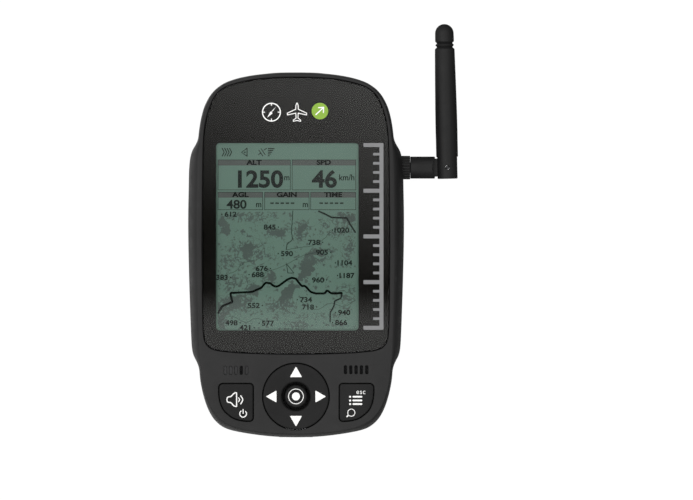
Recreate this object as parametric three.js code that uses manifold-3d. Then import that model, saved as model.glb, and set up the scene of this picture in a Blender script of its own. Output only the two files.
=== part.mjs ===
// Portable aviation GPS navigator with a screw-on, swivelling stub antenna.
//
// Frame (millimetres): the unit lies on its back.  Origin at the centre of the
// flat back face, +X to the right of the screen, +Y to the top of the screen,
// +Z out of the screen.  The antenna stands along +Y beside the right flank.
import * as THREE from 'three';
import { mergeVertices } from 'three/addons/utils/BufferGeometryUtils.js';
import Module from 'manifold-3d';

const wasm = await Module();
wasm.setup();

// ---------------------------------------------------------------- dimensions
const DEPTH = 24;              // back face to the highest line of the front
const CROWN_R = 900;           // radius of the front's crown, about an X axis
const Z_REAR_TOP = 16.1;       // rear housing's parting edge
const Z_FRONT_BOTTOM = 16.4;   // front housing's parting edge
const Z_WIDEST = 12;           // level of the full outline
const BACK_R = 9;              // rounding from flank to flat back
const WALL = 2.2;
const POCKET = 2.0;            // window pocket below the front surface
const POCKET_FLOOR = 3.4;      // underside of the pocket floor
const GAP = 0.3;
const DECK_Y = -53.15;         // centre of the rocker
const KEY_TRAVEL = 0.7;
const ROCKER_R = 12.4, ROCKER_HOLE_R = 12.7, ROCKER_INNER_R = 5.13, ENTER_R = 4.28;
const SLOT_W = 1.2, SLOT_H = 3.3;
const ANT_Y = 32.9, ANT_Z = 10.8;     // axis of the antenna connector (along X)
const ANT_RECESS_X = 36.3, ANT_RECESS_R = 5.0;
const PIN_X = 56.98;                  // antenna knuckle pin (along Z)
const BASE_R = 4.15, WHIP_R = 4.15, COLLAR_R = 4.45;
const WHIP_LEAN = 1.28;               // degrees, towards the screen side
const SPINE = 38;                     // half length of the straight ray zone

// Outlines, right half, [x, y] from the top centre to the bottom centre.
const FULL = [[0, 68.67], [7.55, 68.54], [11.32, 68.18], [15.1, 67.76], [18.88, 67.14], [22.65, 66.25], [26.43, 64.89], [28.31, 63.8], [30.2, 62.38], [32.09, 60.29], [33.22, 58.47], [34.16, 56.59], [34.88, 54.7], [35.84, 50.92], [36.45, 47.15], [36.73, 44.51], [37.07, 43.0], [37.79, 41.49], [38.96, 39.6], [39.66, 37.71], [40.03, 35.82], [40.35, 32.05], [40.51, 24.5], [40.66, 16.95], [40.68, 9.4], [40.58, 1.85], [40.41, -5.7], [40.2, -13.25], [39.94, -20.8], [39.66, -28.35], [39.37, -34.01], [39.15, -35.9], [38.67, -37.79], [37.67, -39.68], [36.81, -41.56], [36.37, -43.45], [36.16, -46.09], [35.71, -49.11], [34.86, -52.89], [33.69, -56.66], [32.13, -60.06], [30.56, -62.33], [27.92, -64.59], [25.42, -65.72], [20.44, -66.86], [11.7, -68.1], [5.66, -68.55], [0, -68.67]];
const CORE = [...FULL.slice(0, 16), [36.98, 30], [37.15, 10], [37.18, 1.85], [37.1, -15], [36.9, -30], [36.6, -41], ...FULL.slice(35)];
const FACE = [[0, 67.76], [7.55, 67.65], [11.32, 67.35], [15.1, 66.97], [18.88, 66.29], [22.65, 65.42], [26.43, 64.02], [29.07, 62.17], [30.58, 60.63], [32.09, 58.47], [33.33, 55.83], [34.35, 52.81], [35.03, 49.41], [35.6, 45.26], [35.98, 41.49], [36.16, 35.82], [36.35, 24.5], [36.5, 9.4], [36.47, -1.93], [36.28, -17.03], [36.01, -28.35], [35.79, -35.9], [35.6, -40.43], [35.3, -44.21], [34.81, -47.98], [33.86, -51.76], [32.58, -55.34], [30.96, -58.36], [29.07, -60.66], [26.61, -62.63], [23.41, -64.14], [19.63, -65.27], [13.59, -66.25], [6.79, -66.78], [0, -66.97]];
const WINDOW = [[0, 66.7], [7.55, 66.59], [11.32, 66.33], [15.1, 65.95], [18.88, 65.27], [22.65, 64.36], [26.43, 63.0], [28.69, 61.49], [29.82, 60.36], [30.96, 58.66], [32.65, 54.7], [33.71, 50.92], [34.35, 47.15], [34.65, 43.37], [34.81, 39.6], [34.99, 28.27], [35.15, 13.17], [35.18, 1.85], [35.07, -13.25], [34.88, -24.58], [34.69, -29.11], [34.24, -32.13], [33.03, -34.2], [31.71, -35.15], [29.82, -35.79], [26.43, -36.28], [20.76, -36.73], [13.21, -37.03], [5.66, -37.18], [0, -37.22]];
// Left key, counter-clockwise after the bottom edge; corners already eased.
const KEY_LEFT = [[-28.9, -53.0], [-28.3, -55.6], [-27.1, -58.2], [-25.4, -59.9], [-23.7, -61.1], [-21.5, -62.0], [-19.2, -62.3], [-17.4, -62.4], [-16.5, -62.05], [-16.1, -61.1], [-16.1, -49.86], [-16.54, -48.8], [-17.6, -48.36], [-27.4, -48.36], [-28.46, -48.8], [-28.9, -49.86]];
const KEY_MIRROR_X = 0.13;

const crown = y => DEPTH - (y * y) / (2 * CROWN_R);

// ------------------------------------------------------------------- helpers
const rad = THREE.MathUtils.degToRad;

function geometryFrom(positions, triangles) {
  const g = new THREE.BufferGeometry();
  g.setAttribute('position', new THREE.Float32BufferAttribute(positions, 3));
  g.setIndex(triangles);
  return g;
}

// Position-only, merged, no degenerate faces, faces pointing out.
function clean(geometry) {
  let g = geometry.clone();
  for (const name of Object.keys(g.attributes)) if (name !== 'position') g.deleteAttribute(name);
  g = mergeVertices(g, 1e-4);
  const p = g.attributes.position, idx = Array.from(g.index.array), out = [];
  let volume = 0;
  const a = new THREE.Vector3(), b = new THREE.Vector3(), c = new THREE.Vector3();
  for (let i = 0; i < idx.length; i += 3) {
    const [u, v, w] = [idx[i], idx[i + 1], idx[i + 2]];
    if (u === v || v === w || w === u) continue;
    out.push(u, v, w);
    a.fromBufferAttribute(p, u); b.fromBufferAttribute(p, v); c.fromBufferAttribute(p, w);
    volume += a.dot(b.cross(c));
  }
  if (volume < 0) for (let i = 0; i < out.length; i += 3) [out[i + 1], out[i + 2]] = [out[i + 2], out[i + 1]];
  g.setIndex(out);
  return g;
}

function solid(geometry, matrix) {
  const g = clean(geometry);
  if (matrix) g.applyMatrix4(matrix);
  return new wasm.Manifold(new wasm.Mesh({
    numProp: 3,
    vertProperties: new Float32Array(g.attributes.position.array),
    triVerts: new Uint32Array(g.index.array),
  }));
}

function fromSolid(m) {
  const mesh = m.simplify(0.015).getMesh();
  return geometryFrom(Array.from(mesh.vertProperties), Array.from(mesh.triVerts));
}

function move(geometry, x, y, z) { const g = geometry.clone(); g.translate(x, y, z); return g; }

// Rings of equal length, lowest first, joined by bands and closed by fans.
function loft(rings) {
  const n = rings[0].length, pos = [], tri = [];
  for (const r of rings) for (const q of r) pos.push(...q);
  for (let k = 0; k + 1 < rings.length; k++) {
    for (let i = 0; i < n; i++) {
      const j = (i + 1) % n, a = k * n + i, b = k * n + j, c = a + n, d = b + n;
      tri.push(a, b, d, a, d, c);
    }
  }
  for (const [k, flip] of [[0, true], [rings.length - 1, false]]) {
    const s = [0, 0, 0];
    for (const q of rings[k]) for (let t = 0; t < 3; t++) s[t] += q[t] / n;
    const centre = pos.length / 3;
    pos.push(...s);
    for (let i = 0; i < n; i++) {
      const a = k * n + i, b = k * n + (i + 1) % n;
      if (flip) tri.push(centre, b, a); else tri.push(centre, a, b);
    }
  }
  return geometryFrom(pos, tri);
}

// A plate made of strips across X: rows of [y, half width (or [x0, x1]), z low, z high].
function ladder(rows) {
  const pos = [], tri = [];
  for (const [y, w, z0, z1] of rows) {
    const [x0, x1] = Array.isArray(w) ? w : [-w, w];
    pos.push(x0, y, z0, x1, y, z0, x1, y, z1, x0, y, z1);
  }
  for (let k = 0; k + 1 < rows.length; k++) {
    for (let i = 0; i < 4; i++) {
      const j = (i + 1) % 4, a = 4 * k + i, b = 4 * k + j;
      tri.push(a, b, b + 4, a, b + 4, a + 4);
    }
  }
  const e = 4 * (rows.length - 1);
  tri.push(0, 2, 1, 0, 3, 2, e, e + 1, e + 2, e, e + 2, e + 3);
  return geometryFrom(pos, tri);
}

function shapeOf(points) {
  const s = new THREE.Shape();
  points.forEach(([x, y], i) => (i ? s.lineTo(x, y) : s.moveTo(x, y)));
  s.closePath();
  return s;
}

function prism(points, z0, z1, holes = []) {
  const s = shapeOf(points);
  for (const h of holes) s.holes.push(shapeOf(h));
  const g = new THREE.ExtrudeGeometry(s, { depth: z1 - z0, bevelEnabled: false, steps: 1 });
  g.translate(0, 0, z0);
  return g;
}

function roundedRect(x0, y0, x1, y1, r, n = 3) {
  const out = [];
  for (const [cx, cy, a0] of [[x1 - r, y0 + r, -90], [x1 - r, y1 - r, 0], [x0 + r, y1 - r, 90], [x0 + r, y0 + r, 180]]) {
    for (let i = 0; i <= n; i++) {
      const a = rad(a0 + 90 * i / n);
      out.push([cx + r * Math.cos(a), cy + r * Math.sin(a)]);
    }
  }
  return out;
}

// Outward offset of a counter-clockwise polygon.
function grow(points, d) {
  const n = points.length;
  return points.map((p, i) => {
    const a = points[(i + n - 1) % n], b = points[(i + 1) % n];
    const n1 = new THREE.Vector2(p[1] - a[1], a[0] - p[0]).normalize();
    const n2 = new THREE.Vector2(b[1] - p[1], p[0] - b[0]).normalize();
    const m = n1.clone().add(n2).normalize();
    const k = d / Math.max(0.5, m.dot(n1));
    return [p[0] + m.x * k, p[1] + m.y * k];
  });
}

const box = (x0, y0, z0, x1, y1, z1) => move(new THREE.BoxGeometry(x1 - x0, y1 - y0, z1 - z0), (x0 + x1) / 2, (y0 + y1) / 2, (z0 + z1) / 2);

// Solid of revolution: profile of [radius, height]; axis 'x', 'y' or 'z'.
function turned(profile, sides, axis) {
  const g = new THREE.LatheGeometry(profile.map(([r, h]) => new THREE.Vector2(Math.max(r, 0), h)), sides);
  if (axis === 'z') g.rotateX(Math.PI / 2);
  if (axis === 'x') g.rotateZ(-Math.PI / 2);
  return clean(g);
}
const rod = (r, h0, h1, sides, axis) => turned([[0, h0], [r, h0], [r, h1], [0, h1]], sides, axis);
const washer = (r0, r1, h0, h1, sides, axis) => turned([[r0, h0], [r1, h0], [r1, h1], [r0, h1], [r0, h0]], sides, axis);

function tube(points, r, sides, steps) {
  const path = new THREE.CatmullRomCurve3(points.map(p => new THREE.Vector3(...p)));
  const section = new THREE.Shape();
  for (let i = 0; i < sides; i++) {
    const a = 2 * Math.PI * i / sides;
    if (i) section.lineTo(r * Math.cos(a), r * Math.sin(a)); else section.moveTo(r, 0);
  }
  section.closePath();
  return new THREE.ExtrudeGeometry(section, { extrudePath: path, steps, bevelEnabled: false });
}

// ------------------------------------------------- outlines on common rays
// Fans at both ends about (0, +-SPINE) and level rays between them.
const TOP_ANGLES = [90, 77, 66, 57, 50, 44.5, 40, 35.5, 31, 25, 18, 12, 8, 5.3, 2.4];
const SIDE_Y = [38, 35, 30, 20, 7, -8, -22, -32, -36];
const BOTTOM_ANGLES = [0, -2.6, -5.6, -9, -13, -18, -23.5, -29, -34, -38.5, -43.5, -49, -57, -68, -79, -90];

function reach(outline, ox, oy, dx, dy) {
  for (let i = 0; i + 1 < outline.length; i++) {
    const [x0, y0] = outline[i], [x1, y1] = outline[i + 1];
    const ex = x1 - x0, ey = y1 - y0, den = dx * ey - dy * ex;
    if (Math.abs(den) < 1e-9) continue;
    const t = ((x0 - ox) * ey - (y0 - oy) * ex) / den;
    const s = ((x0 - ox) * dy - (y0 - oy) * dx) / den;
    if (t > 0 && s >= -1e-6 && s <= 1 + 1e-6) return t;
  }
  throw new Error('ray misses outline');
}

const rays = [];
for (const a of TOP_ANGLES) rays.push([0, SPINE, Math.cos(rad(a)), Math.sin(rad(a))]);
for (const y of SIDE_Y) rays.push([0, y, 1, 0]);
for (const a of BOTTOM_ANGLES) rays.push([0, -SPINE, Math.cos(rad(a)), Math.sin(rad(a))]);
const half = rays.map(([ox, oy, dx, dy]) => ({
  ox, oy, dx: Math.abs(dx) < 1e-9 ? 0 : dx, dy,
  m: reach(FULL, ox, oy, dx, dy), c: reach(CORE, ox, oy, dx, dy), f: reach(FACE, ox, oy, dx, dy),
}));
// Full ring, counter-clockwise seen from +Z: up the left... right side upwards first.
const ringRays = [...half].reverse();
for (const h of half.slice(1, -1)) ringRays.push({ ...h, dx: -h.dx });
const coarse = ringRays.filter((h, i) => i % 2 === 0);
const ring = (distance, height, from = ringRays) => from.map(h => {
  const d = distance(h), x = h.ox + h.dx * d, y = h.oy + h.dy * d;
  return [x, y, typeof height === 'function' ? height(y) : height];
});
// One convex flank from the face edge down to the widest line; wide flanks round over deeper.
for (const h of ringRays) {
  h.top = crown(h.oy + h.dy * h.f);
  h.drop = Math.min(h.top - Z_WIDEST, 3.2 + 2.4 * (h.m - h.f));
}
const flankAt = (h, z) => {
  const u = Math.min(1, Math.max(0, (h.top - z) / h.drop));
  return h.f + (h.m - h.f) * Math.sqrt(1 - (1 - u) * (1 - u));
};
const backAt = (h, z) => (h.m - BACK_R) + BACK_R * Math.sqrt(Math.max(0, 1 - ((BACK_R - z) / BACK_R) ** 2));

const group = new THREE.Group();
const material = (color, roughness = 0.5, metalness = 0) => new THREE.MeshStandardMaterial({ color, roughness, metalness });
function add(parent, name, geometry, mat) {
  const mesh = new THREE.Mesh(geometry.delete ? fromSolid(geometry) : clean(geometry), mat);
  mesh.name = name;
  parent.add(mesh);
  return mesh;
}
const CASE = material('#38383a', 0.45), CASE_REAR = material('#343436', 0.55), KEYCAP = material('#2d2d2e', 0.5);
const RUBBER = material('#1f1f20', 0.8), STEEL = material('#b9bcc0', 0.3, 1), GOLD = material('#c9a24e', 0.3, 1);
const BOARD = material('#20553a', 0.5), CHIP = material('#19191b', 0.5), PLASTIC = material('#232325', 0.5);

// The key deck: a frame tangent to the crown at the rocker's centre.
const deckTilt = Math.atan(-DECK_Y / CROWN_R);
const deck = new THREE.Group();
deck.position.set(0, DECK_Y, crown(DECK_Y));
deck.rotation.x = deckTilt;
deck.updateMatrix();
group.add(deck);
const onDeck = points => points.map(([x, y]) => [x, y - DECK_Y]);
const mirrored = points => points.map(([x, y]) => [2 * KEY_MIRROR_X - x, y]).reverse();
const keyL = onDeck(KEY_LEFT), keyR = mirrored(keyL);

// ------------------------------------------------------------- front housing
const halfWidth = (outline, y) => {
  for (let i = 0; i + 1 < outline.length; i++) {
    const [x0, y0] = outline[i], [x1, y1] = outline[i + 1];
    if (y <= y0 && y >= y1) return x0 + (x1 - x0) * (y0 - y) / (y0 - y1 || 1);
  }
  return 0;
};
// Strips of the window outline shrunk by d, following the crown.
function windowPlate(d, top, bottom) {
  const ys = WINDOW.slice(1, -1).map(p => p[1]).filter(y => y < 66.7 - d - 0.15 && y > -37.22 + d + 0.1);
  ys.unshift(66.62 - d);
  ys.push(-37.19 + d);
  for (let i = 0; i + 1 < ys.length; i++) if (ys[i] - ys[i + 1] > 9) ys.splice(i + 1, 0, (ys[i] + ys[i + 1]) / 2);
  return ladder(ys.map(y => {
    const at = Math.min(66.6, Math.max(-37.17, y > 30 ? y + d * 0.9 : y - d * 0.9));
    return [y, Math.max(1.5, halfWidth(WINDOW, at) - d), crown(y) - bottom, crown(y) - top];
  }));
}
function crownSlab(top, bottom, x, y0, y1, n) {
  const rows = [];
  for (let i = 0; i <= n; i++) {
    const y = y0 + (y1 - y0) * i / n;
    rows.push([y, x, typeof bottom === 'number' ? bottom : bottom(y), crown(y) - top]);
  }
  return ladder(rows);
}
const flankRings = [];
for (const u of [0, 0.28, 0.52, 0.72, 0.87, 0.96]) {
  flankRings.push(ring(h => flankAt(h, Z_FRONT_BOTTOM + (h.top - Z_FRONT_BOTTOM) * u), y => Z_FRONT_BOTTOM + (crown(y) - Z_FRONT_BOTTOM) * u));
}
flankRings.push(ring(h => h.f, y => crown(y)));
flankRings.push(ring(h => h.f, 26));
let front = solid(loft(flankRings)).intersect(solid(crownSlab(0, 10, 50, -72, 72, 18)));
const innerFront = solid(loft([ring(h => h.c - WALL, 15, coarse), ring(h => h.c - WALL, 26, coarse)]))
  .intersect(solid(crownSlab(POCKET_FLOOR, 10, 50, -72, 72, 18)));
front = front.subtract(innerFront);
// Thinner skin over the keys.
front = front.subtract(solid(loft([ring(h => h.c - WALL - 0.1, 15.2, coarse), ring(h => h.c - WALL - 0.1, 25.8, coarse)]))
  .intersect(solid(crownSlab(WALL, 10.2, 50, -71, -38.6, 8))));
// Bosses for the case screws.
const CASE_SCREWS = [[26, 54], [-26, 54], [30.2, -39.8], [-30.2, -39.8]];
for (const [x, y] of CASE_SCREWS) front = front.add(solid(move(rod(2.2, Z_FRONT_BOTTOM, crown(y) - (y < 0 ? 1.4 : 2.8), 12, 'z'), x, y, 0)));
for (const [x, y] of CASE_SCREWS) front = front.subtract(solid(move(rod(1.35, 15, 19.3, 12, 'z'), x, y, 0)));
// Window pocket and display aperture.
front = front.subtract(solid(windowPlate(-GAP, -3, POCKET)));
front = front.subtract(solid(box(-33.2, -32.7, 16, 27.5, 46.5, 26)));
// Key, rocker and grille openings.
const deckMatrix = deck.matrix;
front = front.subtract(solid(prism(grow(keyL, 0.35), -6, 3), deckMatrix));
front = front.subtract(solid(prism(grow(keyR, 0.35), -6, 3), deckMatrix));
front = front.subtract(solid(rod(ROCKER_HOLE_R, -6, 3, 40, 'z'), deckMatrix));
const SLOT_X = [-26.5, -24.5, -22.5, -20.5, -18.5, 18.6, 20.6, 22.6, 24.6, 26.6];
for (const x of SLOT_X) {
  const y = x < 0 ? -43.3 : -43.1;
  front = front.subtract(solid(prism(roundedRect(x - SLOT_W / 2, y - SLOT_H / 2, x + SLOT_W / 2, y + SLOT_H / 2, 0.35, 1), 18, 26)));
}
add(group, 'front_housing', front, CASE);

// -------------------------------------------------------------- rear housing
const rearRings = [];
for (const z of [0, 0.5, 2.2, 5.2, BACK_R]) rearRings.push(ring(h => backAt(h, z), z));
rearRings.push(ring(h => h.m, Z_WIDEST), ring(h => flankAt(h, 14.2), 14.2), ring(h => flankAt(h, Z_REAR_TOP), Z_REAR_TOP));
let rear = solid(loft(rearRings));
const cavityRings = [];
for (const z of [2, 4, BACK_R]) {
  cavityRings.push(ring(h => (h.c - BACK_R) + (BACK_R - WALL) * Math.sqrt(Math.max(0, 1 - ((BACK_R - z) / 7) ** 2)), z));
}
cavityRings.push(ring(h => h.c - WALL, 18));
let rearCavity = solid(loft(cavityRings));
// Solid surround of the antenna jack, and posts for both sets of screws.
rearCavity = rearCavity.subtract(solid(box(32.8, ANT_Y - 6.6, 1, 39, ANT_Y + 6.6, 20)));
const BOARD_SCREWS = [[24, 44], [-24, 44], [24, -36], [-24, -36]];
for (const [x, y] of CASE_SCREWS) rearCavity = rearCavity.subtract(solid(move(rod(3.4, 0, 20, 14, 'z'), x, y, 0)));
for (const [x, y] of BOARD_SCREWS) rearCavity = rearCavity.subtract(solid(move(rod(2.4, 0, 13.3, 12, 'z'), x, y, 0)));
rear = rear.subtract(rearCavity);
for (const [x, y] of CASE_SCREWS) {
  rear = rear.subtract(solid(move(turned([[0, -1], [2.7, -1], [2.7, 5], [1.35, 5], [1.35, 20], [0, 20]], 16, 'z'), x, y, 0)));
}
for (const [x, y] of BOARD_SCREWS) rear = rear.subtract(solid(move(rod(1.3, 7, 14, 10, 'z'), x, y, 0)));
rear = rear.subtract(solid(loft([ring(h => h.c - 2.5, 14.9), ring(h => h.c - 0.8, 14.9), ring(h => h.c - 0.8, 17), ring(h => h.c - 2.5, 17)].slice(1, 3))));
rear = rear.subtract(solid(move(rod(ANT_RECESS_R, ANT_RECESS_X, 46, 32, 'x'), 0, ANT_Y, ANT_Z)));
rear = rear.subtract(solid(move(rod(3.5, 30, 40, 24, 'x'), 0, ANT_Y, ANT_Z)));
// Service port in the bottom edge: recess for its cover and the mouth.
const COVER_HINGE = [-68.1, 9.4];   // y, z
rear = rear.subtract(solid(prism(roundedRect(-6.7, 8.5, 6.7, 14.9, 1.0), 0, 2.2), new THREE.Matrix4().makeRotationX(Math.PI / 2).setPosition(0, -67.3, 0)));
rear = rear.subtract(solid(box(-4.4, -68, 9.7, 4.4, -65, 13.6)));
add(group, 'rear_housing', rear, CASE_REAR);

// Cord seal between the halves.
add(group, 'housing_seal', solid(loft([ring(h => h.c - 1.15, 15.2, coarse), ring(h => h.c - 1.15, 16.1, coarse)]))
  .subtract(solid(loft([ring(h => h.c - 2.05, 14, coarse), ring(h => h.c - 2.05, 17, coarse)]))), RUBBER);
for (let i = 0; i < 4; i++) {
  const [x, y] = CASE_SCREWS[i];
  add(group, `case_screw_${i + 1}`, move(turned([[0, 3.7], [0.8, 3.2], [2.2, 3.2], [2.2, 4.7], [1.0, 4.7], [1.0, 18.8], [0, 19]], 12, 'z'), x, y, 0), STEEL);
}

// ------------------------------------------------- window, display and frame
add(group, 'display_window', solid(windowPlate(0, 0, 1.0)), material('#1c2020', 0.08));
add(group, 'window_gasket', solid(windowPlate(0.25, 1.3, 1.7)).subtract(solid(box(-33.5, -33, 16, 27.8, 46.8, 26))), RUBBER);
add(group, 'display_panel', prism(roundedRect(-31.4, -31.0, 25.7, 44.8, 0.6, 1), 19.5, 21.5), material('#66816f', 0.3));
add(group, 'display_frame', prism(roundedRect(-32.8, -32.4, 27.1, 46.2, 1.0, 2), 18.6, 21.4, [roundedRect(-31.7, -31.3, 26.0, 45.1, 0.8, 2).reverse()]), STEEL);
add(group, 'display_flex', (() => {
  const g = prism([[-30, 17.9], [-24.3, 17.9], [-24.3, 15.1], [-24, 15.1], [-24, 18.2], [-30, 18.2]], -9, 9);
  g.applyMatrix4(new THREE.Matrix4().set(0, 0, 1, 0, 1, 0, 0, 0, 0, 1, 0, 0, 0, 0, 0, 1));
  return g;
})(), material('#b8702c', 0.5));

// ----------------------------------------------------------- board and power
const boardOutline = [[-18, -64], [18, -64], [23.5, -60.5], [25.7, -57], [25.7, -31], [27, -29], [27, 45], [22, 50.3], [22, 61], [18, 64], [-18, 64], [-22, 61], [-22, 50.3], [-27, 45], [-27, -29], [-25.7, -31], [-25.7, -57], [-23.5, -60.5]];
const circle = (x, y, r, n) => Array.from({ length: n }, (_, i) => [x + r * Math.cos(-2 * Math.PI * i / n), y + r * Math.sin(-2 * Math.PI * i / n)]);
add(group, 'main_board', prism(boardOutline, 13.6, 14.8, BOARD_SCREWS.map(([x, y]) => circle(x, y, 1.3, 10))), BOARD);
for (let i = 0; i < 4; i++) {
  const [x, y] = BOARD_SCREWS[i];
  add(group, `board_screw_${i + 1}`, move(turned([[0, 8], [1.0, 8.2], [1.0, 15.1], [1.8, 15.1], [1.8, 16.2], [0.7, 16.2], [0, 15.7]], 12, 'z'), x, y, 0), STEEL);
}
add(group, 'processor_chip', box(-7.5, 2, 15.1, 7.5, 17, 16.3), CHIP);
add(group, 'memory_chip', box(11, 4, 15.1, 20, 15, 16.1), CHIP);
add(group, 'receiver_shield', prism(roundedRect(2, 47, 20, 61, 0.8, 2), 15.1, 17.3), STEEL);
add(group, 'power_chip', box(-17, 49, 15.1, -9, 57, 16.1), CHIP);
add(group, 'battery_pack', prism(roundedRect(-20.2, -40, 20.2, 20, 2.0, 3), 2.4, 10.2), material('#2c3a48', 0.5));
add(group, 'battery_pad', prism(roundedRect(-18, -38, 18, 18, 1.0, 2), 10.5, 13.2), material('#303030', 0.95));
add(group, 'battery_plug', box(-15, 26, 10.9, -8, 30.5, 13.3), material('#e4e1d6', 0.6));
add(group, 'battery_lead', tube([[-10, 20.3, 7.6], [-10.2, 22, 7.7], [-11, 23.6, 9.4], [-11.5, 24.6, 11.4], [-11.5, 25.7, 12]], 0.75, 8, 10), material('#8c2020', 0.6));
add(group, 'usb_socket', solid(box(-3.9, -66.6, 10.0, 3.9, -58, 13.3)).subtract(solid(box(-3.4, -67, 10.5, 3.4, -61, 12.8))), STEEL);

// -------------------------------------------------------------- sounder, vent
add(group, 'sounder', move(turned([[0, 15.1], [4.2, 15.1], [4.2, 17.6], [3.8, 18.1], [1.0, 18.1], [1.0, 17.4], [0, 17.4]], 16, 'z'), 21.6, -43.2, 0), CHIP);
add(group, 'sounder_mesh', solid(crownSlab(2.5, y => crown(y) - 2.8, [17.3, 27.7], -45.4, -40.8, 2)), material('#141414', 0.9));
add(group, 'vent_insert', solid(crownSlab(2.5, y => crown(y) - 3.0, [-27.7, -17.2], -45.6, -41.0, 2)), material('#6c6d6f', 0.7));

// ------------------------------------------------------------- keys and deck
add(deck, 'keypad_sheet', prism([[-29, 4], [-29, -4], [-24, -9.5], [-12, -11.6], [12, -11.6], [24, -9.5], [29, -4], [29, 4], [14.5, 4], [14.5, 11.6], [-14.5, 11.6], [-14.5, 4]], -5.9, -5.4), RUBBER);
const SWITCHES = { key_switch_sound: [-22.5, -55.5], key_switch_menu: [22.8, -55.5], key_switch_enter: [0, DECK_Y], key_switch_up: [0, DECK_Y + 9.3], key_switch_down: [0, DECK_Y - 9.3], key_switch_left: [-9.3, DECK_Y], key_switch_right: [9.3, DECK_Y] };
for (const [name, [x, y]] of Object.entries(SWITCHES)) {
  add(group, name, move(turned([[0, 15.1], [2.4, 15.1], [2.4, 15.2], [1.4, 15.45], [0, 15.5]], 12, 'z'), x, y, 0), STEEL);
}
const keyCap = outline => {
  const body = solid(loft([
    grow(outline, 0).map(([x, y]) => [x, y, -4.4]), grow(outline, 0).map(([x, y]) => [x, y, -0.2]),
    grow(outline, -0.35).map(([x, y]) => [x, y, 0.15]),
  ]));
  return body.add(solid(prism(grow(outline, 0.75), -4.4, -2.9)));
};
add(deck, 'sound_key', keyCap(keyL), KEYCAP);
add(deck, 'menu_key', keyCap(keyR), KEYCAP);
add(deck, 'enter_button', turned([[0, -4.4], [ENTER_R, -4.4], [ENTER_R, -0.65], [ENTER_R - 0.35, -0.35], [ENTER_R - 1.2, -0.3], [0, -0.3]], 24, 'z'), KEYCAP);
add(deck, 'rocker_ring', turned([[ROCKER_INNER_R + 0.1, -3.0], [ROCKER_R, -3.0], [ROCKER_R, -0.25], [ROCKER_R - 0.4, 0.05], [ROCKER_INNER_R + 0.9, 0.1], [ROCKER_INNER_R + 0.2, -0.35], [ROCKER_INNER_R + 0.1, -3.0]], 36, 'z'), KEYCAP);
add(deck, 'rocker_gimbal', washer(5.6, 8.0, -4.4, -3.9, 20, 'z'), RUBBER);

// --------------------------------------------------------- service port cover
const coverShape = roundedRect(-6.4, -0.3, 6.4, 5.2, 0.9, 2);
let cover = solid(prism(coverShape, -0.5, 0.5), new THREE.Matrix4().makeRotationX(Math.PI / 2));
cover = cover.add(solid(box(-3.8, 0.3, 0.75, 3.8, 1.15, 3.8)));
const coverMesh = add(group, 'usb_cover', cover, RUBBER);
coverMesh.position.set(0, COVER_HINGE[0], COVER_HINGE[1]);

// ------------------------------------------------------- antenna: jack side
const antenna = new THREE.Group();
antenna.position.set(0, ANT_Y, ANT_Z);
group.add(antenna);
add(antenna, 'rf_jack', turned([[0, 27.2], [2.4, 27.2], [2.4, 29.2], [3.175, 29.6], [3.175, 37.5], [4.5, 37.5], [4.5, 38.3], [3.175, 38.3], [3.175, 40.6], [2.9, 40.9], [1.0, 40.9], [1.0, 38.0], [0, 38.0]], 16, 'x'), GOLD);
add(antenna, 'rf_jack_nut', solid(rod(4.4, 30.5, 32.5, 6, 'x')).subtract(solid(rod(3.5, 30, 33, 20, 'x'))), STEEL);
add(antenna, 'rf_jack_seal', washer(3.5, 4.5, 36.6, 37.2, 20, 'x'), RUBBER);
add(group, 'rf_coax', tube([[26.9, ANT_Y, ANT_Z], [25, ANT_Y, ANT_Z], [22, ANT_Y - 0.8, 11.0], [18.5, ANT_Y - 2.4, 12.2], [16.8, ANT_Y - 2.9, 12.3]], 0.9, 8, 12), RUBBER);
add(group, 'coax_plug', move(turned([[0, 11.0], [1.8, 11.0], [1.9, 11.4], [1.9, 13.3], [0, 13.3]], 14, 'z'), 14.5, ANT_Y - 2.9, 0), GOLD);

// ---------------------------------------------------- antenna: moving pieces
add(antenna, 'antenna_core', turned([[0, 38.6], [0.5, 38.8], [0.5, 41.2], [3.15, 41.2], [3.15, 41.8], [2.0, 41.8], [2.0, 45.8], [2.85, 45.8], [2.85, 47.3], [0, 47.3]], 14, 'x'), GOLD);
const ribs = [];
for (let i = 0; i < 22; i++) {
  for (const [f, r] of [[0, 4.12], [0.25, COLLAR_R], [0.75, COLLAR_R], [1, 4.12]].slice(0, 3)) {
    const a = 2 * Math.PI * (i + f) / 22;
    ribs.push([r * Math.cos(a), r * Math.sin(a)]);
  }
}
let collar = solid(prism(ribs, 38.6, 42.81), new THREE.Matrix4().makeRotationY(Math.PI / 2));
collar = collar.subtract(solid(turned([[0, 38], [3.5, 38], [3.5, 42.1], [2.35, 42.1], [2.35, 43], [0, 43]], 20, 'x')));
add(antenna, 'antenna_collar', collar, PLASTIC);

let base = solid(turned([[2.35, 43.11], [3.8, 43.11], [BASE_R, 43.4], [BASE_R, 52.0], [3.95, 52.34], [0, 52.34], [0, 47.6], [3.2, 47.6], [3.2, 45.5], [2.35, 45.5], [2.35, 43.11]], 22, 'x'));
base = base.subtract(solid(move(rod(5.8, -6, 6, 40, 'z'), PIN_X, 0, 0)));
const tongue = [[PIN_X, 3.4]];
for (let i = 1; i < 10; i++) { const a = rad(90 - 18 * i); tongue.push([PIN_X + 3.4 * Math.cos(a), 3.4 * Math.sin(a)]); }
tongue.push([PIN_X, -3.4], [50, -3.4], [50, 3.4]);
base = base.add(solid(prism(tongue.reverse(), -1.45, 1.45)));
base = base.subtract(solid(move(rod(1.1, -3, 3, 14, 'z'), PIN_X, 0, 0)));
add(antenna, 'antenna_base', base, PLASTIC);

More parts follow.
